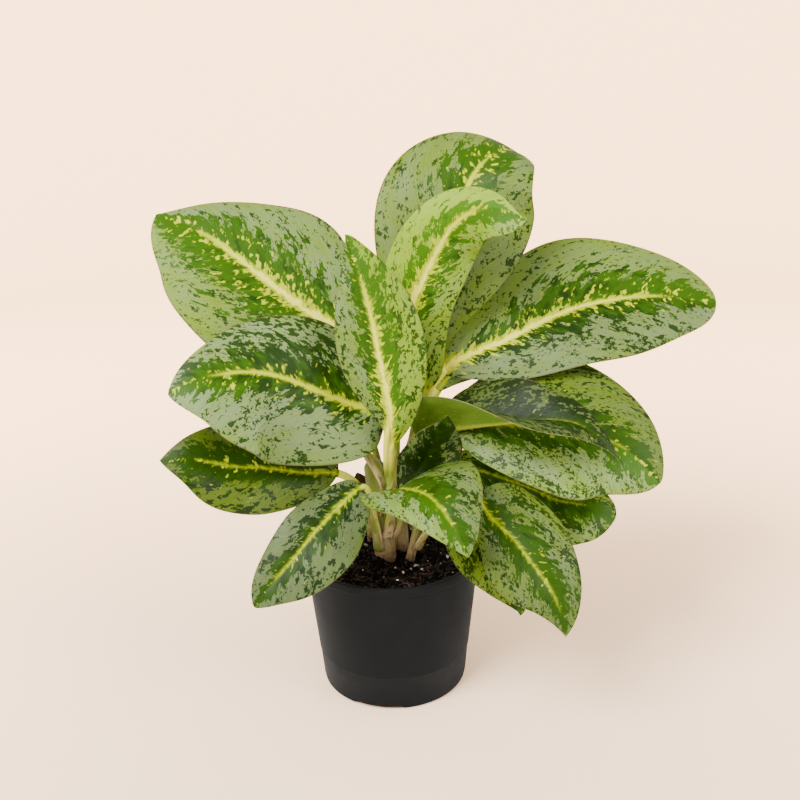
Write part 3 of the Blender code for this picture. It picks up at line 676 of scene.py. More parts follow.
def side_points(centre, axes, sign, leaf, width, share, fold):
    """Points across one half of the blade with the blade's own normals there."""
    along, across, up = axes
    freedom = min(1.0, width / FOLDING_WIDTH)
    angles = np.radians(freedom * (fold - leaf.curl * np.array([0.0, *BLADE_COLUMNS])))
    steps = np.diff([0.0, *BLADE_COLUMNS])
    turns = (angles[1:] + angles[:-1]) / 2
    outward = np.cumsum(np.cos(turns) * steps) * width
    rise = np.cumsum(np.sin(turns) * steps) * width
    reach = BLADE_COLUMNS**2
    phase = RIPPLE_LAG if sign > 0 else 0.0
    ripple = leaf.wave * freedom * math.sin(2 * math.pi * (RIPPLE_WAVES * share + phase)) * reach
    lag = leaf.lobe * max(0.0, 1 - share / LOBE_LENGTH) ** 2 * width * reach
    places = centre + sign * outward[:, None] * across + (rise + ripple)[:, None] * up - lag[:, None] * along
    normals = np.cos(angles[1:])[:, None] * up - sign * np.sin(angles[1:])[:, None] * across
    return places, normals


def stalk_ring(centre, axes, radius, count, grown=1.0, wrap=math.inf):
    """An oval ring round the stalk, which is still a sheath bent round the cane where grown is under 1."""
    half_across = radius * (SHEATH_SPREAD + (1 - SHEATH_SPREAD) * grown)
    half_deep = SHEATH_HALF_DEPTH + (min(radius, STALK_HALF_DEPTH) - SHEATH_HALF_DEPTH) * grown
    turn = math.pi - (np.arange(count) + 0.5) * 2 * math.pi / count
    aside = np.cos(turn) * half_across
    lift = np.sin(turn) * half_deep
    lift -= np.where(lift > 0, STALK_GROOVE_DEPTH * np.exp(-((aside / STALK_GROOVE_WIDTH) ** 2)), 0.0)
    lift += (1 - grown) * aside**2 / (2 * wrap)
    return centre + aside[:, None] * axes[1] + lift[:, None] * axes[2]


def blade_ring(centre, axes, leaf, share, along_length, thickness):
    """The ring round the blade at one station, and its points' places among the veins and on the blade."""
    folds = [np.interp(share, FOLD_STATIONS, fold) for fold in (leaf.left_fold, leaf.right_fold)]
    widths = [half_width(share, width, leaf) for width in (leaf.left, leaf.right)]
    left, left_up = side_points(centre, axes, -1, leaf, widths[0], share, folds[0])
    right, right_up = side_points(centre, axes, 1, leaf, widths[1], share, folds[1])
    middle = np.concatenate([left[::-1], [centre], right])
    normals = np.concatenate([left_up[::-1], [axes[2]], right_up])
    fraction = np.concatenate([BLADE_COLUMNS[::-1], [0.0], BLADE_COLUMNS])
    side = np.repeat((-1.0, 0.0, 1.0), (len(BLADE_COLUMNS), 1, len(BLADE_COLUMNS)))
    width = np.where(side < 0, widths[0], widths[1])
    away = fraction * width
    vein, out_along = vein_place(along_length, side, fraction, width)
    wave = np.abs(np.sin(np.pi * vein / VEIN_SPACING))
    quilt = QUILT_HEIGHT * (wave - QUILT_MIDDLE) * smooth_step(away / QUILT_START)
    quilt *= smooth_step((1 - fraction) * QUILT_FADE)
    rib = np.exp(-((away / RIB_REACH) ** 2))
    half = thickness / 2 * (1 - MARGIN_THINNING * fraction**3) * (1 - TIP_THINNING * share**8)
    upper = middle + (half + quilt - RIB_GROOVE * rib * (1 - share))[:, None] * normals
    lower = middle - (half - quilt + RIB_KEEL * rib * (1 - share))[:, None] * normals
    veins = np.stack([vein, out_along, np.zeros_like(vein)], axis=1)
    spots = np.stack([np.full_like(vein, share), side * fraction, side * away], axis=1)
    ring = np.concatenate([upper, lower[::-1]])
    if share < ROUND_BASE_END:
        spread = np.where(fraction == 0, max(widths), width)
        flat = smooth_step((spread - BLADE_SPREAD * leaf.stalk_radius) / leaf.stalk_radius)
        flat = np.concatenate([flat, flat[::-1]])[:, None]
        ring = stalk_ring(centre, axes, leaf.stalk_radius, len(ring)) * (1 - flat) + ring * flat
    return ring, np.concatenate([veins, veins[::-1]]), np.concatenate([spots, spots[::-1]])


def leaf_mesh(leaf, seed, thickness):
    """Points, faces and looks of a whole leaf, and its points' places among the veins and on the blade."""
    points, stalk_share, out = leaf_path(leaf)
    stalk_shares = np.linspace(0, 1, STALK_STATIONS, endpoint=False)
    blade_shares = 0.5 * (1 - np.cos(np.pi * np.linspace(0, 1, BLADE_STATIONS)))
    fractions = np.concatenate([stalk_shares * stalk_share, stalk_share + blade_shares * (1 - stalk_share)])
    line = smooth_curve(points, fractions)
    lengths = np.concatenate([[0.0], np.cumsum(np.linalg.norm(np.diff(line, axis=0), axis=1))])
    lengths -= np.interp(stalk_share, fractions, lengths)
    along = unit(np.gradient(line, fractions, axis=0))
    base_face, tip_face = unit(np.array(leaf.faces, float))
    half_count = 2 * len(BLADE_COLUMNS) + 1
    count = 2 * half_count
    wrap = stem_point(STEMS[leaf.seat[0]], leaf.seat[2])[1] + SHEATH_HALF_DEPTH
    around = np.sin(np.arange(count) * 2 * math.pi / count) * leaf.stalk_radius
    level = np.zeros(count)
    vertices, veins, spots = [line[0]], [(0, 0, seed)], [(-1, 0, 0)]
    shares = []
    for index, fraction in enumerate(fractions[:-1]):
        share = (fraction - stalk_share) / (1 - stalk_share)
        climb = fraction / stalk_share
        facing = base_face * climb - out * (1 - climb)
        if share > 0:
            facing = base_face * (1 - share) + tip_face * share
        across = unit(np.cross(along[index], facing))
        axes = (along[index], across, np.cross(across, along[index]))
        if share > 0:
            length = lengths[index]
            places, ring_veins, ring_spots = blade_ring(line[index], axes, leaf, share, length, thickness)
        else:
            grown = min(1.0, climb / SHEATH_LENGTH)
            places = stalk_ring(line[index], axes, leaf.stalk_radius, count, grown, wrap)
            ring_veins = np.stack([np.full(count, lengths[index]), around, level], axis=1)
            ring_spots = np.stack([np.full(count, climb - 1), level, around], axis=1)
        vertices += list(places)
        veins += [(vein[0], vein[1], seed) for vein in ring_veins]
        spots += list(ring_spots)
        shares.append(share)
    vertices.append(line[-1])
    veins.append((lengths[-1], 0, seed))
    spots.append((1, 0, 0))
    looks = []
    for side in range(count):
        look = face_look(side, half_count)
        looks += [STALK, look] + [look if share > 0 else STALK for share in shares[1:]]
    return vertices, tube_faces(len(shares), count), looks, veins, spots


def face_look(side, half_count):
    """The look of a blade's face, from its place in the ring."""
    if side in (half_count - 1, 2 * half_count - 1):
        return EDGE
    return UPPER if side < half_count else LOWER


def leaf_piece(name, slot, leaf, seed, thickness, materials):
    """A leaf, or a sheath with one material, in place of the solid of the same name."""
    vertices, faces, looks, veins, spots = leaf_mesh(leaf, seed, thickness / MM)
    if len(materials) == 1:
        looks = None
    vectors = {"vein": veins, "spot": spots}
    stands_for(mesh_object(f"{name}_dressed", vertices, faces, materials, vectors, looks), slot, name)


# Shader building

class Wire:
    """The output of a node. Arithmetic on it adds math nodes to the same tree."""

    def __init__(self, nodes, socket):
        self.nodes = nodes
        self.socket = socket

    def __add__(self, other):
        return self.nodes.math("ADD", self, other)

    def __sub__(self, other):
        return self.nodes.math("SUBTRACT", self, other)

    def __rsub__(self, other):
        return self.nodes.math("SUBTRACT", other, self)

    def __mul__(self, other):
        return self.nodes.math("MULTIPLY", self, other)

    def __truediv__(self, other):
        return self.nodes.math("DIVIDE", self, other)

    def __rtruediv__(self, other):
        return self.nodes.math("DIVIDE", other, self)

    def __pow__(self, other):
        return self.nodes.math("POWER", self, other)

    def __abs__(self):
        return self.nodes.math("ABSOLUTE", self)


class Nodes:
    """Short calls that add linked nodes to a material or a node group."""

    def __init__(self, tree):
        self.tree = tree

    def add(self, kind, inputs=(), **settings):
        """A node with its settings, and with wires or values put on its inputs."""
        node = self.tree.nodes.new(kind)
        for name, value in settings.items():
            setattr(node, name, value)
        for name, value in dict(inputs).items():
            self.put(node.inputs[name], value)
        return node

    def wire(self, kind, inputs=(), output=0, **settings):
        """One output of a new node."""
        return Wire(self, self.add(kind, inputs, **settings).outputs[output])

    def put(self, socket, value):
        """Link a wire to a socket, or set the socket's value."""
        if isinstance(value, Wire):
            self.tree.links.new(value.socket, socket)
        elif socket.type == "RGBA":
            socket.default_value = (*value[:3], 1.0)
        else:
            socket.default_value = value

    def math(self, operation, *values):
        """The result of one math node."""
        return self.wire("ShaderNodeMath", dict(enumerate(values)), operation=operation)

    def vector_math(self, operation, *values):
        """The result of one vector math node."""
        return self.wire("ShaderNodeVectorMath", dict(enumerate(values)), operation=operation)

    def mix(self, share, first, second, blend="MIX"):
        """One colour laid over another by a share."""
        inputs = {0: share, 6: first, 7: second}
        return self.wire("ShaderNodeMix", inputs, 2, data_type="RGBA", blend_type=blend, clamp_factor=True)

    def step(self, value, low, high):
        """A smooth step from 0 at low to 1 at high. It falls where low is the greater one."""
        inputs = {"Value": value, "From Min": low, "From Max": high}
        return self.wire("ShaderNodeMapRange", inputs, interpolation_type="SMOOTHSTEP", clamp=True)

    def scaled(self, vector, sizes, place):
        """A vector in millimetres divided by the sizes of marks, and moved to its own place in the noise."""
        along, across, deep = (*sizes, 1)[:3]
        shift = (place, place * 0.7, place * 1.3)
        return self.vector_math("MULTIPLY_ADD", vector, (1 / along, 1 / across, 1 / deep), shift)

    def noise(self, vector, sizes, place=0.0, detail=2.0, roughness=0.5, scale=1.0):
        """Soft noise from 0 to 1 with marks of the given sizes in millimetres, over the scale."""
        inputs = {"Vector": self.scaled(vector, sizes, place), "Scale": scale}
        return self.wire("ShaderNodeTexNoise", inputs | {"Detail": detail, "Roughness": roughness}, "Fac")

    def grey(self, value):
        """A colour with the same value in red, green and blue."""
        return self.wire("ShaderNodeCombineColor", dict.fromkeys(("Red", "Green", "Blue"), value))

    def between(self, share, first, second):
        """A value between two by a share."""
        return share * (second - first) + first

    def warped(self, vector, size, amount):
        """A vector in millimetres moved about by soft noise, so that marks don't lie in rows."""
        inputs = {"Vector": self.scaled(vector, (size, size), WARP_PLACE), "Scale": 1.0, "Detail": 2.0}
        colour = self.wire("ShaderNodeTexNoise", inputs, "Color")
        centred = self.vector_math("SUBTRACT", colour, (0.5, 0.5, 0.5))
        return self.vector_math("MULTIPLY_ADD", centred, (amount, amount, 0), vector)

    def attribute(self, name):
        """A point attribute as a vector, and its three numbers."""
        kind = "ShaderNodeAttribute"
        vector = self.wire(kind, (), "Vector", attribute_name=name, attribute_type="GEOMETRY")
        numbers = self.add("ShaderNodeSeparateXYZ", {"Vector": vector}).outputs
        return vector, *(Wire(self, number) for number in numbers)


def node_group(name, inputs, outputs):
    """An empty shader node group, the calls that fill it, its inputs as wires, and its outputs."""
    group = bpy.data.node_groups.new(name, "ShaderNodeTree")
    for in_out, sockets in (("INPUT", inputs), ("OUTPUT", outputs)):
        for socket, kind in sockets.items():
            group.interface.new_socket(socket, in_out=in_out, socket_type=f"NodeSocket{kind}")
    nodes = Nodes(group)
    given = {socket.name: Wire(nodes, socket) for socket in nodes.add("NodeGroupInput").outputs}
    return group, nodes, given, nodes.add("NodeGroupOutput").inputs


def principled(name, roughness=0.5, specular=0.5):
    """A material with its calls and its Principled shader."""
    material = bpy.data.materials.new(name)
    material.use_nodes = True
    shader = material.node_tree.nodes["Principled BSDF"]
    shader.inputs["Roughness"].default_value = roughness
    shader.inputs["Specular IOR Level"].default_value = specular
    return material, Nodes(material.node_tree), shader


def add_bump(nodes, shader, height, depth):
    """Relief from a height that changes over the surface, depth in millimetres."""
    inputs = {"Height": height, "Distance": depth * MM, "Strength": 1.0}
    nodes.put(shader.inputs["Normal"], nodes.wire("ShaderNodeBump", inputs))


def grain_group():
    """Fine grain for plastic, soil and skins: a value from 0 to 1 with marks of a size in metres."""
    inputs = dict.fromkeys(("Size", "Detail", "Seed"), "Float")
    group, nodes, given, out = node_group("Fine grain", inputs, {"Grain": "Float"})
    place = nodes.vector_math("ADD", nodes.wire("ShaderNodeTexCoord", (), "Object"), given["Seed"])
    inputs = {"Vector": place, "Scale": 1.0 / given["Size"], "Detail": given["Detail"]}
    nodes.put(out["Grain"], nodes.wire("ShaderNodeTexNoise", inputs, "Fac"))
    return group


def grain(nodes, size, detail=2.0, seed=0.0):
    """Fine grain in a material, size in millimetres."""
    group = bpy.data.node_groups.get("Fine grain") or grain_group()
    inputs = {"Size": size * MM, "Detail": detail, "Seed": seed}
    return nodes.wire("ShaderNodeGroup", inputs, "Grain", node_tree=group)


def markings_group():
    """The variegation of a blade, laid out along its veins.

    From below: silver with dark flecks, the green zone beside the midrib, pale marks in a yellow-green
    halo, the cream midrib with its fringe, and the thin line of the margin.
    """
    values = [f"{name} {half}" for name in SIDED_MARKINGS for half in ("left", "right")]
    values += ["Green start", "Cream width", "Fleck size"]
    inputs = dict.fromkeys(values, "Float") | dict.fromkeys(MARKING_COLOURS, "Color")
    outputs = {"Colour": "Color", "Roughness": "Float", "Height": "Float"}
    group, n, given, out = node_group("Leaf markings", inputs, outputs)
    yellow, bright_green, cream = given["Yellow"], given["Bright green"], given["Cream width"]

    # Places: in vein, marks stretch along the side veins; in open_place, less so and along the margin
    plain_vein, across_veins, _, seed = n.attribute("vein")
    _, share, sided_aside, sided_away = n.attribute("spot")
    aside, away = abs(sided_aside), abs(sided_away)
    slant = away * (aside * aside * 0.6 + 0.4)
    open_place = n.wire("ShaderNodeCombineXYZ", {"X": across_veins + slant, "Y": sided_away, "Z": seed})
    open_place = n.warped(open_place, 6.0, 3.0)
    vein = n.warped(plain_vein, 7.0, 3.4)
    right = n.step(sided_aside, -0.015, 0.015)
    reach, brightness, amount, warmth, tone = [
        n.between(right, given[f"{name} left"], given[f"{name} right"]) for name in SIDED_MARKINGS
    ]

    def mark(name, place=vein, scale=1.0):
        return n.noise(place, *MARKS[name], scale)

    # Silver, yellower in places and towards the margin, with a fine mottle
    warm = (mark("cloud") - 0.5) * 1.6 + warmth + n.step(aside, 0.7, 1.0) * 0.2
    silver = n.mix(n.step(warm, -0.1, 1.1), given["Silver"], given["Silver warm"])
    mottle = mark("mottle")
    silver = n.mix(n.step(mottle, 0.35, 0.7) * 0.06, silver, (0.5, 0.65, 0.35))

    # Flecks and blotches, in crowds
    scale = 1.0 / given["Fleck size"]
    flecks = n.math("MAXIMUM", mark("flecks", open_place, scale), mark("blotches", open_place, scale) - 0.03)
    crowd = (mark("fleck crowds") - 0.5) * 0.38 + (amount - 0.5) * 0.2 + n.step(aside, 0.8, 0.95) * 0.02
    fleck = n.step(flecks + crowd, 0.612, 0.62)

    # The green zone, with a fingered edge and with islands of silver in its outer part
    zone = reach * n.step(share - given["Green start"], -0.12, 0.2)
    edge = zone - aside - 0.02 + (mark("fingers") - 0.5) * 1.6 + (mark("ragged edge") - 0.5) * 0.42
    holes = n.step(mark("islands"), 0.585, 0.595) * n.step(aside, 0.2, 0.45)
    green_zone = n.step(edge, 0.0, 0.02) * (1.0 - holes)

    # Both greens, lighter towards the tip and darker towards the margin
    light = (mark("shade") - 0.5) * 1.8 + brightness + n.step(share, 0.55, 0.95) * 0.35 - aside * 0.35
    green = n.mix(n.step(light, 0.15, 0.75), given["Dark green"], bright_green)
    fleck_green = n.mix(n.step(light, 0.4, 1.1), given["Dark green"], bright_green)
    colour = n.mix(fleck * 0.95, silver, fleck_green)
    colour = n.mix(green_zone, colour, green)

    # The tone of the half, partly its own lightness and partly painted shade and a painted glow of light
    # through the blade, with fine lines along the veins
    colour = n.mix(1.0, colour, n.grey(tone * (mark("fine lines") * 0.6 + 0.7)), "MULTIPLY")

    # Pale marks in crowds near the midrib, each in a halo, and stray ones
    near = cream * 0.06 + 0.03 - aside * 0.48 + (mark("pale crowds") - 0.5) * 0.36
    depth = (mark("pale", open_place) + near) * n.step(cream, 0.05, 0.35)
    pale = n.step(depth, 0.62, 0.70) * n.step(aside, 0.6, 0.35)
    stray = n.step(mark("stray"), 0.735, 0.76) * n.step(aside, 0.9, 0.6)
    halo_colour = n.mix(0.45, yellow, bright_green)
    pale_colour = n.mix(n.step(depth, 0.65, 0.76), halo_colour, n.mix(0.12, yellow, given["Cream"]))
    colour = n.mix(n.math("MAXIMUM", pale, stray) * 0.9, colour, pale_colour)

    # The midrib narrows and greens to the tip: core, fringe and halo, broken where it is thin
    uneven, spikes = mark("uneven"), mark("spikes")
    width = ((1.0 - share) ** 1.15 * 1.65 + 0.12) * cream * (uneven * 4.8 - 1.4)
    spike = n.step(spikes, 0.45, 0.75) * n.step(mark("bursts"), 0.35, 0.6) * 7.5 * cream
    inside = width * 1.4 + 0.3 + spike * n.step(share, 0.85, 0.4) - away
    towards_tip = uneven * 0.3 + share
    thin = n.between(n.step(cream, 0.3, 0.9), n.step(spikes, 0.42, 0.6) * 0.62 + 0.38, 1.0)
    strength = n.step(towards_tip, 1.0, 0.86) * n.step(cream, 0.08, 0.32) * thin
    core = n.step(width - away, -0.35, 0.45) * n.step(towards_tip, 1.0, 0.6)
    colour = n.mix(n.step(inside, -1.6, 0.3) * strength * 0.75, colour, halo_colour)
    feather_colour = n.mix(n.step(cream, 0.3, 1.1), halo_colour, yellow)
    colour = n.mix(n.step(inside, -0.4, 0.5) * strength, colour, feather_colour)
    core_colour = n.mix(n.step(cream, 0.65, 1.4), yellow, given["Cream"])
    colour = n.mix(core * strength, colour, core_colour)

    colour = n.mix(n.step(aside, 0.972, 0.995) * 0.8, colour, given["Margin"])
    n.put(out["Colour"], colour)
    n.put(out["Roughness"], mottle * 0.1 + 0.36)
    n.put(out["Height"], mottle - fleck * 0.25 - green_zone * 0.3)
    return group


# Materials

def blade_material(name, leaf, settings):
    """The upper side of one leaf, with its own share of green, cream and flecks."""
    material, nodes, shader = principled(name, specular=LEAF_SPECULAR)
    values = {"Green start": leaf.green_start, "Cream width": leaf.cream, "Fleck size": leaf.fleck_size}
    for marking in SIDED_MARKINGS:
        values[f"{marking} left"], values[f"{marking} right"] = getattr(leaf, marking.lower())
    for colour in MARKING_COLOURS:
        values[colour] = tuple(getattr(settings, colour.lower().replace(" ", "_")))
    group = bpy.data.node_groups.get("Leaf markings") or markings_group()
    markings = nodes.add("ShaderNodeGroup", values, node_tree=group).outputs
    nodes.put(shader.inputs["Base Color"], Wire(nodes, markings["Colour"]))
    nodes.put(shader.inputs["Roughness"], Wire(nodes, markings["Roughness"]))
    add_bump(nodes, shader, Wire(nodes, markings["Height"]), 0.12)
    return material


def underside_material(settings):
    """The plain olive lower side of a blade, with paler veins, a few pale dots and the midrib."""
    material, nodes, shader = principled("leaf_underside", 0.5, LEAF_SPECULAR)
    vein, across_veins, _, _ = nodes.attribute("vein")
    _, _, _, away = nodes.attribute("spot")
    cloud = nodes.noise(vein, (10, 26), 2.0)
    colour = nodes.mix(nodes.step(cloud, 0.3, 0.75), tuple(settings.underside), (0.20, 0.33, 0.032))
    ridge = abs(nodes.math("SINE", across_veins * (math.pi / VEIN_SPACING)))
    line = nodes.step(ridge, 0.16, 0.02)
    colour = nodes.mix(line * 0.2, colour, (0.26, 0.36, 0.05))
    dots = nodes.step(nodes.noise(vein, (2.0, 2.6), 6.0, 1.0), 0.68, 0.71)
    colour = nodes.mix(dots * 0.7, colour, (0.45, 0.52, 0.12))
    midrib = nodes.step(abs(away), 3.2, 1.4)
    nodes.put(shader.inputs["Base Color"], nodes.mix(midrib, colour, tuple(settings.stalk_top)))
    add_bump(nodes, shader, line + cloud, 0.1)
    return material


def edge_material(settings):
    """The thin edge of a blade, pale with brownish stretches."""
    material, nodes, shader = principled("leaf_edge")
    margin = tuple(settings.margin)
    browned = nodes.step(nodes.noise(nodes.attribute("vein")[0], (14, 14), 8.0), 0.5, 0.6)
    colour = nodes.mix(browned, nodes.mix(0.5, margin, (0.30, 0.34, 0.10)), margin)
    nodes.put(shader.inputs["Base Color"], colour)
    return material


def stalk_material(settings):
    """The stalk, from pinkish cream at the cane to yellow-green where the blade starts.

    A green band runs up its middle, with fine streaks and with brown stains, more of them at the foot.
    """
    material, nodes, shader = principled("leaf_stalk", 0.42, LEAF_SPECULAR)
    vein, _, _, _ = nodes.attribute("vein")
    _, share, _, around = nodes.attribute("spot")
    rise = (nodes.noise(vein, (40, 5), 1.0, 1.0) - 0.5) * 0.9 + (share + 1.0)
    colour = nodes.mix(nodes.step(rise, 0.1, 0.7), tuple(settings.stalk_base), tuple(settings.stalk_top))
    band = nodes.step(nodes.noise(vein, (30, 2.6), 23.0, 2.0, 0.55), 0.38, 0.56)
    band = band * nodes.step(abs(around), 0.7, 2.0)
    colour = nodes.mix(band * 0.8, colour, (0.15, 0.25, 0.01))
    streak = nodes.noise(vein, (22, 0.7), 3.0, 3.0, 0.6)
    colour = nodes.mix(nodes.step(streak, 0.45, 0.7) * 0.5, colour, (0.17, 0.20, 0.03))
    stain = nodes.noise(vein, (9, 1.6), 29.0, 3.0, 0.65) + nodes.step(share, -0.6, -1.0) * 0.12
    colour = nodes.mix(nodes.step(stain, 0.56, 0.7) * 0.7, colour, (0.12, 0.07, 0.025))
    colour = nodes.mix(nodes.step(share, -0.35, 0.0), colour, tuple(settings.cream))
    nodes.put(shader.inputs["Base Color"], colour)
    add_bump(nodes, shader, streak, 0.1)
    return material


def dry_material(settings):
    """Dead brown sheath with paler streaks along it."""
    material, nodes, shader = principled("dry_sheath", 0.7)
    streak = nodes.noise(nodes.attribute("vein")[0], (18, 0.8), 4.0, 4.0, 0.65)
    colour = nodes.mix(nodes.step(streak, 0.4, 0.7), tuple(settings.dry), (0.20, 0.11, 0.055))
    nodes.put(shader.inputs["Base Color"], colour)
    add_bump(nodes, shader, streak, 0.4)
    return material


def cane_material(settings):
    """The cane, cream below and green above, with scars at its joints, brown streaks and a stained foot."""
    material, nodes, shader = principled("cane", 0.45)
    place, height, _, joint = nodes.attribute("cane")
    scar = tuple(settings.scar)
    cloud = nodes.noise(place, (14, 6, 4), 1.0, 3.0, 0.6)
    rise = (cloud - 0.5) * 0.8 + height / 45.0
    colour = nodes.mix(nodes.step(rise, 0.1, 0.9), tuple(settings.cream), tuple(settings.green))
    ragged = nodes.noise(place, (2, 3, 2), 5.0, 3.0, 0.6)
    scarred = nodes.step(joint, 0.55, 0.95) * nodes.step(ragged, 0.35, 0.55)
    colour = nodes.mix(scarred * 0.7, colour, scar)
    streak = nodes.noise(place, (16, 1.4, 4), 8.0, 3.0, 0.6)
    colour = nodes.mix(nodes.step(streak, 0.5, 0.72) * 0.6, colour, (0.12, 0.10, 0.02))
    stained_foot = nodes.step(ragged * 14.0 + height, 20.0, 7.0)
    nodes.put(shader.inputs["Base Color"], nodes.mix(stained_foot * 0.8, colour, scar))
    add_bump(nodes, shader, cloud + ragged, 0.2)
    return material


def pot_material(settings):
    """Black plastic with a faint dust and a fine grain."""
    material, nodes, shader = principled("pot_plastic", specular=POT_SPECULAR)
    colour = tuple(settings.colour)
    dusty = tuple(1.2 * value + 0.003 for value in colour)
    dust = nodes.step(grain(nodes, 18.0, 4.0), 0.42, 0.75)
    nodes.put(shader.inputs["Base Color"], nodes.mix(dust * 0.5, colour, dusty))
    fine = grain(nodes, 0.6, 2.0, 4.0)
    nodes.put(shader.inputs["Roughness"], fine * 0.06 + (dust * 0.1 + settings.roughness))
    add_bump(nodes, shader, fine, 0.03)
    return material


def soil_material(settings):
    """Damp peat: nearly black, with brown patches and a crumbly relief."""
    material, nodes, shader = principled("soil_peat", 0.9, SOIL_SPECULAR)
    patches = nodes.step(grain(nodes, 4.0, 4.0, 1.0), 0.45, 0.72)
    fine = grain(nodes, 0.7, 3.0, 2.0)
    colour = nodes.mix(patches, tuple(settings.dark), tuple(settings.light))
    colour = nodes.mix(nodes.step(fine, 0.62, 0.72) * 0.5, colour, tuple(settings.fibre))
    nodes.put(shader.inputs["Base Color"], colour)
    add_bump(nodes, shader, fine, 0.6)
    return material


def litter_material(name, dark, light, roughness):
    """Grains that each have a tone between two colours."""
    material, nodes, shader = principled(name, roughness)
    nodes.put(shader.inputs["Base Color"], nodes.mix(nodes.attribute("tone")[1], dark, light))
    add_bump(nodes, shader, grain(nodes, 0.4, 3.0, 5.0), 0.2)
    return material


def backdrop_material(settings):
    """Pale ground that the camera sees at its own brightness, with painted shade round the pot, and that
    lights the plant as it is.
    """
    material, nodes, shader = principled("backdrop")
    material.node_tree.nodes.remove(shader)
    place = nodes.wire("ShaderNodeTexCoord", (), "Object")
    distance = nodes.wire("ShaderNodeVectorMath", {0: place, 1: PAINTED_SHADE_SPOT}, "Value", operation="DISTANCE")
    # Painted shade: the floor is darker near the pot and turns to the far colour further out
    colour = nodes.mix(nodes.step(distance, *PAINTED_SHADE_REACH), tuple(settings.painted_shade_floor), tuple(settings.far))
    real = nodes.wire("ShaderNodeBsdfDiffuse", {"Color": tuple(settings.floor)})
    painted_shade_floor = nodes.wire("ShaderNodeBsdfDiffuse", {"Color": colour})
    seen = nodes.wire("ShaderNodeLightPath", (), "Is Camera Ray")
    mixed = nodes.wire("ShaderNodeMixShader", {0: seen, 1: real, 2: painted_shade_floor})
    nodes.put(material.node_tree.nodes["Material Output"].inputs["Surface"], mixed)
    return material


# Turned pieces

def turned_body(rows, segments, closed=True):
    """Points and faces of a turned body from rows, functions of the angle that give a radius and a height.

    The first row is a point on the axis, and so is the last one where the body is closed.
    """
    vertices = [(0, 0, rows[0](0.0)[1])]
    rings = rows[1:-1] if closed else rows[1:]
    for row in rings:
        for step in range(segments):
            angle = 2 * math.pi * step / segments
            radius, height = row(angle)
            vertices.append((radius * math.cos(angle), radius * math.sin(angle), height))
    if closed:
        vertices.append((0, 0, rows[-1](0.0)[1]))
    return vertices, tube_faces(len(rings), segments, closed)


def fixed(radius, height):
    """A row of a turned body that is the same all round."""
    return lambda angle: (radius, height)


def arc(centre_radius, centre_height, radius, start, end, steps):
    """Radii and heights along an arc of the profile, angles from the way outwards, in degrees."""
    rows = []
    for step in range(steps + 1):
        turn = math.radians(start + (end - start) * step / steps)
        rows.append((centre_radius + radius * math.cos(turn), centre_height + radius * math.sin(turn)))
    return rows


def wall_radius(height):
    """The pot's outer radius at a height."""
    return POT_BASE_RADIUS + (POT_TOP_RADIUS - LIP_STEP - POT_BASE_RADIUS) * height / POT_HEIGHT


def wall_point(height, inset=0.0):
    """A radius and height on the pot's wall, or inside it by an inset."""
    return wall_radius(height) - inset, height


def notch_lift(angle):
    """How far the foot is raised at an angle: NOTCH_HEIGHT inside a drain notch, with rounded ends."""
    lift = 0.0
    for index in range(NOTCH_COUNT):
        middle = FIRST_NOTCH + 360 * index / NOTCH_COUNT
        off = abs((math.degrees(angle) - middle + 180) % 360 - 180)
        lift = max(lift, NOTCH_HEIGHT * float(smooth_step((NOTCH_ANGLE / 2 - off) / NOTCH_ROUND_ANGLE)))
    return lift


def foot_row(radius, height):
    """A row of the pot's foot, raised where a notch is."""
    return lambda angle: (radius, max(height, notch_lift(angle)))


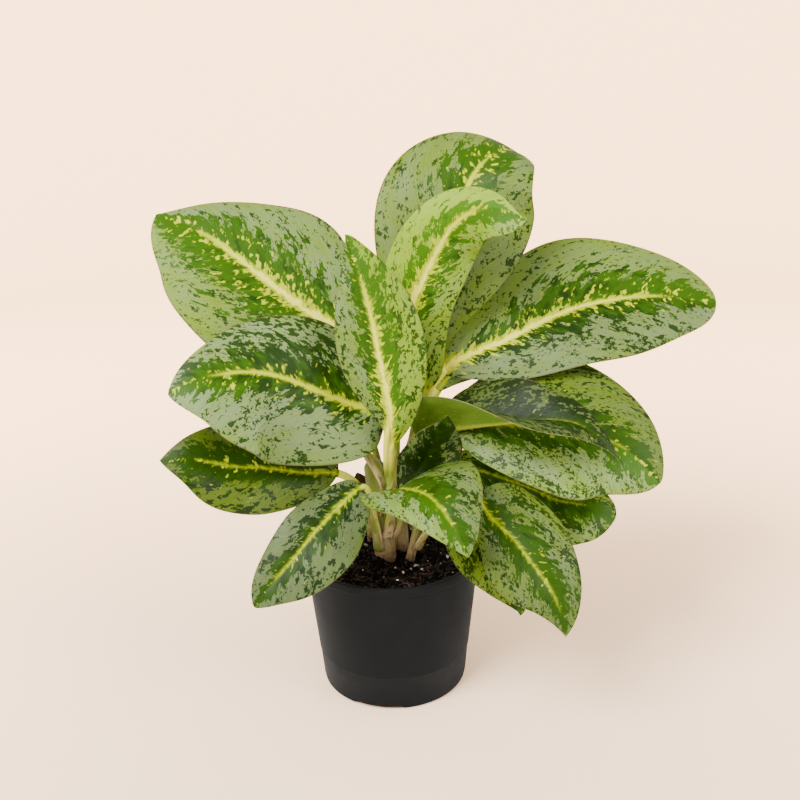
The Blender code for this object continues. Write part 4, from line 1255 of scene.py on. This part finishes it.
class AGLAONEMA_OT_pot(bpy.types.Operator):
    """Build the black nursery pot with its lip, seam, notched foot and drain holes"""

    bl_idname = "aglaonema.pot"
    bl_label = "Pot"

    def execute(self, context):
        settings = context.scene.aglaonema_pot
        vertices, faces = turned_body(self.rows(settings.lip_round / MM), POT_SEGMENTS)
        piece = mesh_object("pot_dressed", vertices, faces, (pot_material(settings),))
        self.drill(piece)
        stands_for(piece, "pot", "pot")
        return {"FINISHED"}

    def rows(self, lip_round):
        """The pot's profile from the middle of its underside round the wall to the middle of its floor."""
        foot_outside = POT_BASE_RADIUS - BASE_ROUND
        foot_inside = foot_outside - FOOT_WIDTH
        foot = [(foot_inside, 0.0)] + arc(foot_outside, BASE_ROUND, BASE_ROUND, -90, 0, 8)
        under = [(0, 0), (CENTRE_PAD_RADIUS, 0), (CENTRE_PAD_RADIUS + FLOOR_SLOPE, FLOOR_RISE)]
        under.append((foot_inside - FLOOR_SLOPE, FLOOR_RISE))
        wall = [wall_point(FOOT_TOP)]
        for rise, share in SEAM_PROFILE:
            wall.append((wall_radius(SEAM_HEIGHT) - SEAM_STEP * share, SEAM_HEIGHT + rise))
        wall += [wall_point(height) for height in PLAIN_WALL_HEIGHTS]
        lip_bottom = POT_HEIGHT - LIP_HEIGHT
        wall += [(wall_radius(lip_bottom) - inset, lip_bottom - drop) for drop, inset in LIP_NECK]
        outer = POT_TOP_RADIUS - lip_round
        inner = wall_radius(POT_HEIGHT) - POT_WALL + lip_round
        lip = arc(outer, lip_bottom + lip_round, lip_round, -80, 0, 4)
        lip += arc(outer, POT_HEIGHT - lip_round, lip_round, 0, 90, 6)
        lip += arc(inner, POT_HEIGHT - lip_round, lip_round, 90, 180, 6)
        floor_top = FLOOR_RISE + FLOOR_THICKNESS
        corner_radius, _ = wall_point(floor_top, POT_WALL + INSIDE_CORNER)
        floor = arc(corner_radius, floor_top + INSIDE_CORNER, INSIDE_CORNER, 0, -90, 6)
        floor.append((CENTRE_PAD_RADIUS + FLOOR_SLOPE - POT_WALL, floor_top))
        floor += [(CENTRE_PAD_RADIUS - POT_WALL, FLOOR_THICKNESS), (0, FLOOR_THICKNESS)]
        rows = [fixed(*point) for point in under] + [foot_row(*point) for point in foot]
        return rows + [fixed(*point) for point in wall + lip + floor]

    def drill(self, piece):
        """Cut the drain holes through the floor, and put the result in the piece's own mesh."""
        cutters = []
        for index in range(DRAIN_COUNT):
            angle = 2 * math.pi * (index + 0.5) / DRAIN_COUNT
            place = Vector((DRAIN_CIRCLE * math.cos(angle), DRAIN_CIRCLE * math.sin(angle), FLOOR_RISE)) * MM
            radius = DRAIN_RADIUS * MM
            work = bmesh.new()
            bmesh.ops.create_cone(
                work, cap_ends=True, segments=DRAIN_SIDES, radius1=radius, radius2=radius,
                depth=DRAIN_CUT_DEPTH * MM, matrix=Matrix.Translation(place),
            )
            mesh = bpy.data.meshes.new("drain")
            work.to_mesh(mesh)
            work.free()
            cutter = bpy.data.objects.new("drain", mesh)
            bpy.context.scene.collection.objects.link(cutter)
            cutters.append(cutter)
            modifier = piece.modifiers.new("drain", "BOOLEAN")
            modifier.operation = "DIFFERENCE"
            modifier.solver = "MANIFOLD"
            modifier.object = cutter
        depsgraph = bpy.context.evaluated_depsgraph_get()
        cut_mesh = bpy.data.meshes.new_from_object(piece.evaluated_get(depsgraph))
        piece.modifiers.clear()
        piece.data = cut_mesh
        cut_mesh.shade_smooth()
        cut_mesh.set_sharp_from_angle(angle=math.radians(SHARP_ANGLE))
        for cutter in cutters:
            bpy.data.objects.remove(cutter, do_unlink=True)


def lumps(x, y, width, height, level):
    """Soft lumps of a width and height, from one level of the noise."""
    return noise.noise(Vector((x, y, level)) / width) * height


def soil_height(x, y):
    """The height of the soil's surface, a low lumpy mound that sinks towards the wall."""
    share = math.hypot(x, y) / POT_TOP_RADIUS
    return SOIL_EDGE_HEIGHT + SOIL_MOUND * (1 - share**2) + lumps(x, y, *SOIL_LUMP)


class AGLAONEMA_OT_soil(bpy.types.Operator):
    """Build the soil with its lumpy surface"""

    bl_idname = "aglaonema.soil"
    bl_label = "Soil"

    def execute(self, context):
        wall = POT_WALL + SOIL_WALL_GAP
        pad_edge = CENTRE_PAD_RADIUS - wall
        pad_top = FLOOR_THICKNESS + CLEARANCE
        floor = FLOOR_RISE + FLOOR_THICKNESS + CLEARANCE
        side, corner_top = wall_point(floor + INSIDE_CORNER, wall)
        edge, _ = wall_point(SOIL_EDGE_HEIGHT, wall)
        below = [(0, pad_top), (pad_edge, pad_top), (pad_edge + FLOOR_SLOPE, floor)]
        below += [(side - INSIDE_CORNER, floor), (side, corner_top), (edge, SOIL_EDGE_HEIGHT - SOIL_EDGE_DIP)]
        rows = [fixed(*point) for point in below]
        for ring in range(1, SOIL_RINGS + 1):
            rows.append(self.surface_row(edge * (1 - ring / SOIL_RINGS)))
        vertices, faces = turned_body(rows, SOIL_SEGMENTS)
        piece = mesh_object("soil_dressed", vertices, faces, (soil_material(context.scene.aglaonema_soil),))
        stands_for(piece, "soil", "soil")
        return {"FINISHED"}

    def surface_row(self, radius):
        """A ring of the soil's surface, with finer lumps than the solid has."""

        def row(angle):
            x, y = radius * math.cos(angle), radius * math.sin(angle)
            return radius, soil_height(x, y) + sum(lumps(x, y, *fine) for fine in SOIL_FINE_LUMPS)

        return row


def litter_edge():
    """The furthest that loose pieces lie from the pot's axis."""
    return wall_radius(SOIL_EDGE_HEIGHT) - POT_WALL - LITTER_WALL_GAP


def soil_spot(draw):
    """A random spot on the soil, away from the canes, with its height."""
    while True:
        radius, angle = litter_edge() * math.sqrt(draw.random()), 2 * math.pi * draw.random()
        x, y = radius * math.cos(angle), radius * math.sin(angle)
        gaps = [math.hypot(x - s.foot[0], y - s.foot[1]) - s.foot_radius for s in STEMS.values()]
        if min(gaps) > LITTER_CANE_GAP:
            return x, y, soil_height(x, y)


def grains(draw, count, sizes, subdivisions):
    """Points and faces of many rough grains scattered over the soil, with a random tone for each."""
    work = bmesh.new()
    bmesh.ops.create_icosphere(work, subdivisions=subdivisions, radius=1.0)
    shape = [vertex.co.copy() for vertex in work.verts]
    corners = [[vertex.index for vertex in face.verts] for face in work.faces]
    work.free()
    vertices, faces, tones = [], [], []
    for _ in range(count):
        x, y, height = soil_spot(draw)
        size = sizes[0] + (sizes[1] - sizes[0]) * draw.random() ** 2
        tone = draw.random()
        turn = Matrix.Rotation(draw.random() * math.tau, 3, "Z")
        turn = turn @ Matrix.Rotation(draw.random() * 2 - 1, 3, "X")
        stretch = Vector((size, size * draw.uniform(0.6, 1.0), size * draw.uniform(0.4, 0.8)))
        first = len(vertices)
        for point in shape:
            lump = turn @ (point * draw.uniform(0.75, 1.15) * stretch)
            vertices.append((x + lump.x, y + lump.y, height + GRAIN_RISE * size + lump.z))
            tones.append((tone, 0, 0))
        faces += [tuple(first + index for index in corner) for corner in corners]
    return vertices, faces, tones


def bark_fibres(draw, count):
    """Points and faces of thin bent fibres that lie on the soil, with a random tone for each."""
    vertices, faces, tones = [], [], []
    steps = FIBRE_POINTS - 1
    for _ in range(count):
        x, y, _ = soil_spot(draw)
        length, heading = draw.uniform(*FIBRE_LENGTHS), draw.random() * math.tau
        bend, thick, tone = draw.uniform(*FIBRE_BENDS), draw.uniform(*FIBRE_HALF_WIDTHS), draw.random()
        start = len(vertices)
        for step in range(FIBRE_POINTS):
            first = len(vertices)
            radius = math.hypot(x, y)
            if radius > litter_edge():
                x, y = x * litter_edge() / radius, y * litter_edge() / radius
            height = soil_height(x, y) + FIBRE_RISE + draw.uniform(*FIBRE_UNEVEN)
            half = thick * (1 - FIBRE_TAPER * abs(2 * step / steps - 1))
            side = Vector((-math.sin(heading), math.cos(heading), 0)) * half
            for corner in (side, Vector((0, 0, half)), -side, Vector((0, 0, -half))):
                vertices.append((x + corner.x, y + corner.y, height + corner.z))
                tones.append((tone, 0, 0))
            for index in range(4 if step else 0):
                after = (index + 1) % 4
                faces.append((first - 4 + index, first - 4 + after, first + after, first + index))
            x, y = x + math.cos(heading) * length / steps, y + math.sin(heading) * length / steps
            heading += bend / steps
        faces.append(tuple(range(first, first + 4)))
        faces.append((start + 3, start + 2, start + 1, start))
    return vertices, faces, tones


class AGLAONEMA_OT_litter(bpy.types.Operator):
    """Scatter crumbs, bark fibres and perlite grains over the soil"""

    bl_idname = "aglaonema.litter"
    bl_label = "Crumbs, fibres and perlite"

    def execute(self, context):
        settings = context.scene.aglaonema_soil
        draw = random.Random(LITTER_SEED)
        dark, light = tuple(settings.dark), tuple(settings.light)
        fibre, perlite = tuple(settings.fibre), tuple(settings.perlite)
        self.loose_piece("soil_crumbs", grains(draw, settings.crumbs, CRUMB_SIZES, 1), dark, light, 0.9)
        self.loose_piece("soil_fibres", bark_fibres(draw, settings.fibres), light, fibre, 0.8)
        perlite_grains = grains(draw, settings.grains, PERLITE_SIZES, 2)
        self.loose_piece("soil_perlite", perlite_grains, PERLITE_SHADE, perlite, 0.8)
        return {"FINISHED"}

    def loose_piece(self, name, parts, dark, light, roughness):
        """All grains of one kind, in one piece that lies on the soil."""
        vertices, faces, tones = parts
        material = litter_material(name, dark, light, roughness)
        stands_for(mesh_object(name, vertices, faces, (material,), {"tone": tones}), "soil")


# Plant

class AGLAONEMA_OT_canes(bpy.types.Operator):
    """Build the three short canes with their joints and leaf scars"""

    bl_idname = "aglaonema.canes"
    bl_label = "Canes"

    def execute(self, context):
        material = cane_material(context.scene.aglaonema_cane)
        for name, stem in STEMS.items():
            stands_for(self.cane(name, stem, material), "cane", name)
        return {"FINISHED"}

    def cane(self, name, stem, material):
        """One cane as a turned bar along its axis, with a shallow collar at each joint and a domed top."""
        bottom, bottom_radius = stem_point(stem, SOIL_EDGE_HEIGHT - STEM_HOLE_DEPTH + CLEARANCE)
        top = np.array(stem.top, float)
        along = unit(top - bottom)
        across = unit(np.cross(along, (0.0, 1.0, 0.0)))
        deep = np.cross(along, across)
        length = np.linalg.norm(top - bottom)
        vertices, marks = [bottom], [(0, 0, 0)]
        for step in range(CANE_STEPS + 1):
            share = step / CANE_STEPS
            height = share * length
            joint = abs(math.cos(math.pi * height / CANE_JOINT_GAP)) ** CANE_COLLAR_SHARPNESS
            joint *= 1 - CANE_COLLAR_FADE * share
            radius = bottom_radius + (stem.top_radius - bottom_radius) * share + CANE_COLLAR_RISE * joint
            dome = max(0.0, (share - CANE_DOME_START) / (1 - CANE_DOME_START))
            radius *= math.sqrt(max(CANE_DOME_LEAST, 1 - dome**2))
            for side in range(CANE_SIDES):
                angle = 2 * math.pi * side / CANE_SIDES
                aside = radius * (math.cos(angle) * across + math.sin(angle) * deep)
                vertices.append(bottom + along * height + aside)
                marks.append((height - STEM_HOLE_DEPTH, angle * radius, joint))
        vertices.append(top)
        marks.append((length, 0, 0))
        faces = tube_faces(CANE_STEPS + 1, CANE_SIDES)
        return mesh_object(f"{name}_dressed", vertices, faces, (material,), {"cane": marks})


class AGLAONEMA_OT_leaves(bpy.types.Operator):
    """Build the eighteen leaves, each in one piece with its stalk"""

    bl_idname = "aglaonema.leaves"
    bl_label = "Leaves"

    def execute(self, context):
        settings = context.scene.aglaonema_leaf
        shared = (underside_material(settings), edge_material(settings), stalk_material(settings))
        for index, (name, leaf) in enumerate(LEAVES.items()):
            blade = blade_material(f"{name}_blade", leaf, settings)
            leaf_piece(name, "leaf", leaf, LEAF_SEED_STEP * index, settings.thickness, (blade, *shared))
        return {"FINISHED"}


class AGLAONEMA_OT_dry_sheath(bpy.types.Operator):
    """Build the dead brown sheath that clings to the main cane"""

    bl_idname = "aglaonema.dry_sheath"
    bl_label = "Dry sheath"

    def execute(self, context):
        settings = context.scene.aglaonema_leaf
        materials = (dry_material(settings),)
        leaf_piece("dry_sheath", "dry_sheath", DRY_SHEATH, DRY_SHEATH_SEED, settings.thickness, materials)
        return {"FINISHED"}


# Stage

class AGLAONEMA_OT_stage(bpy.types.Operator):
    """Set the pale round backdrop, the soft lights, the sky and the camera"""

    bl_idname = "aglaonema.stage"
    bl_label = "Stage"

    def execute(self, context):
        settings = context.scene.aglaonema_stage
        self.backdrop(settings)
        for name, (place, size, power) in LIGHTS.items():
            self.area_light(name, place, size, getattr(settings, power))
        world = bpy.data.worlds.new("studio_sky")
        world.use_nodes = True
        background = world.node_tree.nodes["Background"]
        background.inputs["Color"].default_value = (*LIGHT_COLOUR, 1.0)
        background.inputs["Strength"].default_value = settings.sky
        context.scene.world = world
        self.camera(context.scene)
        return {"FINISHED"}

    def backdrop(self, settings):
        """A floor that curves up into a round wall, so that every side has the same pale ground."""
        profile = [(0, 0)] + [(radius, 0) for radius in BACKDROP_FLOOR] + arc(*BACKDROP_BEND) + [BACKDROP_TOP]
        vertices, faces = turned_body([fixed(*point) for point in profile], BACKDROP_SIDES, closed=False)
        mesh_object("backdrop", vertices, faces, (backdrop_material(settings),))

    def area_light(self, name, place, size, power):
        """A round soft light that looks at the middle of the plant."""
        lamp = bpy.data.lights.new(name, "AREA")
        lamp.shape = "DISK"
        lamp.size = size * MM
        lamp.energy = power
        lamp.color = LIGHT_COLOUR
        holder = bpy.data.objects.new(name, lamp)
        holder.location = Vector(place) * MM
        holder.rotation_euler = (Vector(PLANT_MIDDLE) - Vector(place)).to_track_quat("-Z", "Y").to_euler()
        bpy.context.scene.collection.objects.link(holder)

    def camera(self, scene):
        """The camera in front of the plant, looking slightly down."""
        data = bpy.data.cameras.new("camera")
        data.lens = CAMERA_LENS
        data.sensor_width = SENSOR_WIDTH
        data.clip_start = NEAR_CLIP * MM
        camera = bpy.data.objects.new("camera", data)
        tilt = Matrix.Rotation(math.radians(90 - CAMERA_PITCH), 4, "X")
        roll = Matrix.Rotation(math.radians(-CAMERA_ROLL), 4, "Z")
        camera.matrix_world = Matrix.Translation(Vector(CAMERA_PLACE) * MM) @ tilt @ roll
        scene.collection.objects.link(camera)
        scene.camera = camera


class AGLAONEMA_PT_panel(bpy.types.Panel):
    """The plant's pieces and their sizes and colours"""

    bl_idname = "AGLAONEMA_PT_panel"
    bl_label = "Potted aglaonema"
    bl_space_type = "VIEW_3D"
    bl_region_type = "UI"
    bl_category = "Aglaonema"

    def draw(self, context):
        for settings_name, operators in PANEL_ROWS:
            box = self.layout.box()
            for operator in operators:
                box.operator(operator.bl_idname)
            settings = getattr(context.scene, settings_name)
            for name in settings.bl_rna.properties.keys():
                if name not in {"rna_type", "name"}:
                    box.prop(settings, name)


SETTINGS = {
    "aglaonema_pot": PotSettings,
    "aglaonema_soil": SoilSettings,
    "aglaonema_cane": CaneSettings,
    "aglaonema_leaf": LeafSettings,
    "aglaonema_stage": StageSettings,
}
PANEL_ROWS = (
    ("aglaonema_pot", (AGLAONEMA_OT_pot,)),
    ("aglaonema_soil", (AGLAONEMA_OT_soil, AGLAONEMA_OT_litter)),
    ("aglaonema_cane", (AGLAONEMA_OT_canes,)),
    ("aglaonema_leaf", (AGLAONEMA_OT_leaves, AGLAONEMA_OT_dry_sheath)),
    ("aglaonema_stage", (AGLAONEMA_OT_stage,)),
)
OPERATORS = [operator for _, operators in PANEL_ROWS for operator in operators]


def register():
    for settings_name, group in SETTINGS.items():
        bpy.utils.register_class(group)
        setattr(bpy.types.Scene, settings_name, bpy.props.PointerProperty(type=group))
    for thing in (*OPERATORS, AGLAONEMA_PT_panel):
        bpy.utils.register_class(thing)


def unregister():
    for thing in (AGLAONEMA_PT_panel, *reversed(OPERATORS)):
        bpy.utils.unregister_class(thing)
    for settings_name, group in reversed(SETTINGS.items()):
        delattr(bpy.types.Scene, settings_name)
        bpy.utils.unregister_class(group)


def main():
    """Build every piece and the stage."""
    register()
    bpy.ops.aglaonema.stage()
    bpy.ops.aglaonema.pot()
    bpy.ops.aglaonema.soil()
    bpy.ops.aglaonema.litter()
    bpy.ops.aglaonema.canes()
    bpy.ops.aglaonema.leaves()
    bpy.ops.aglaonema.dry_sheath()


if __name__ == "__main__":
    main()
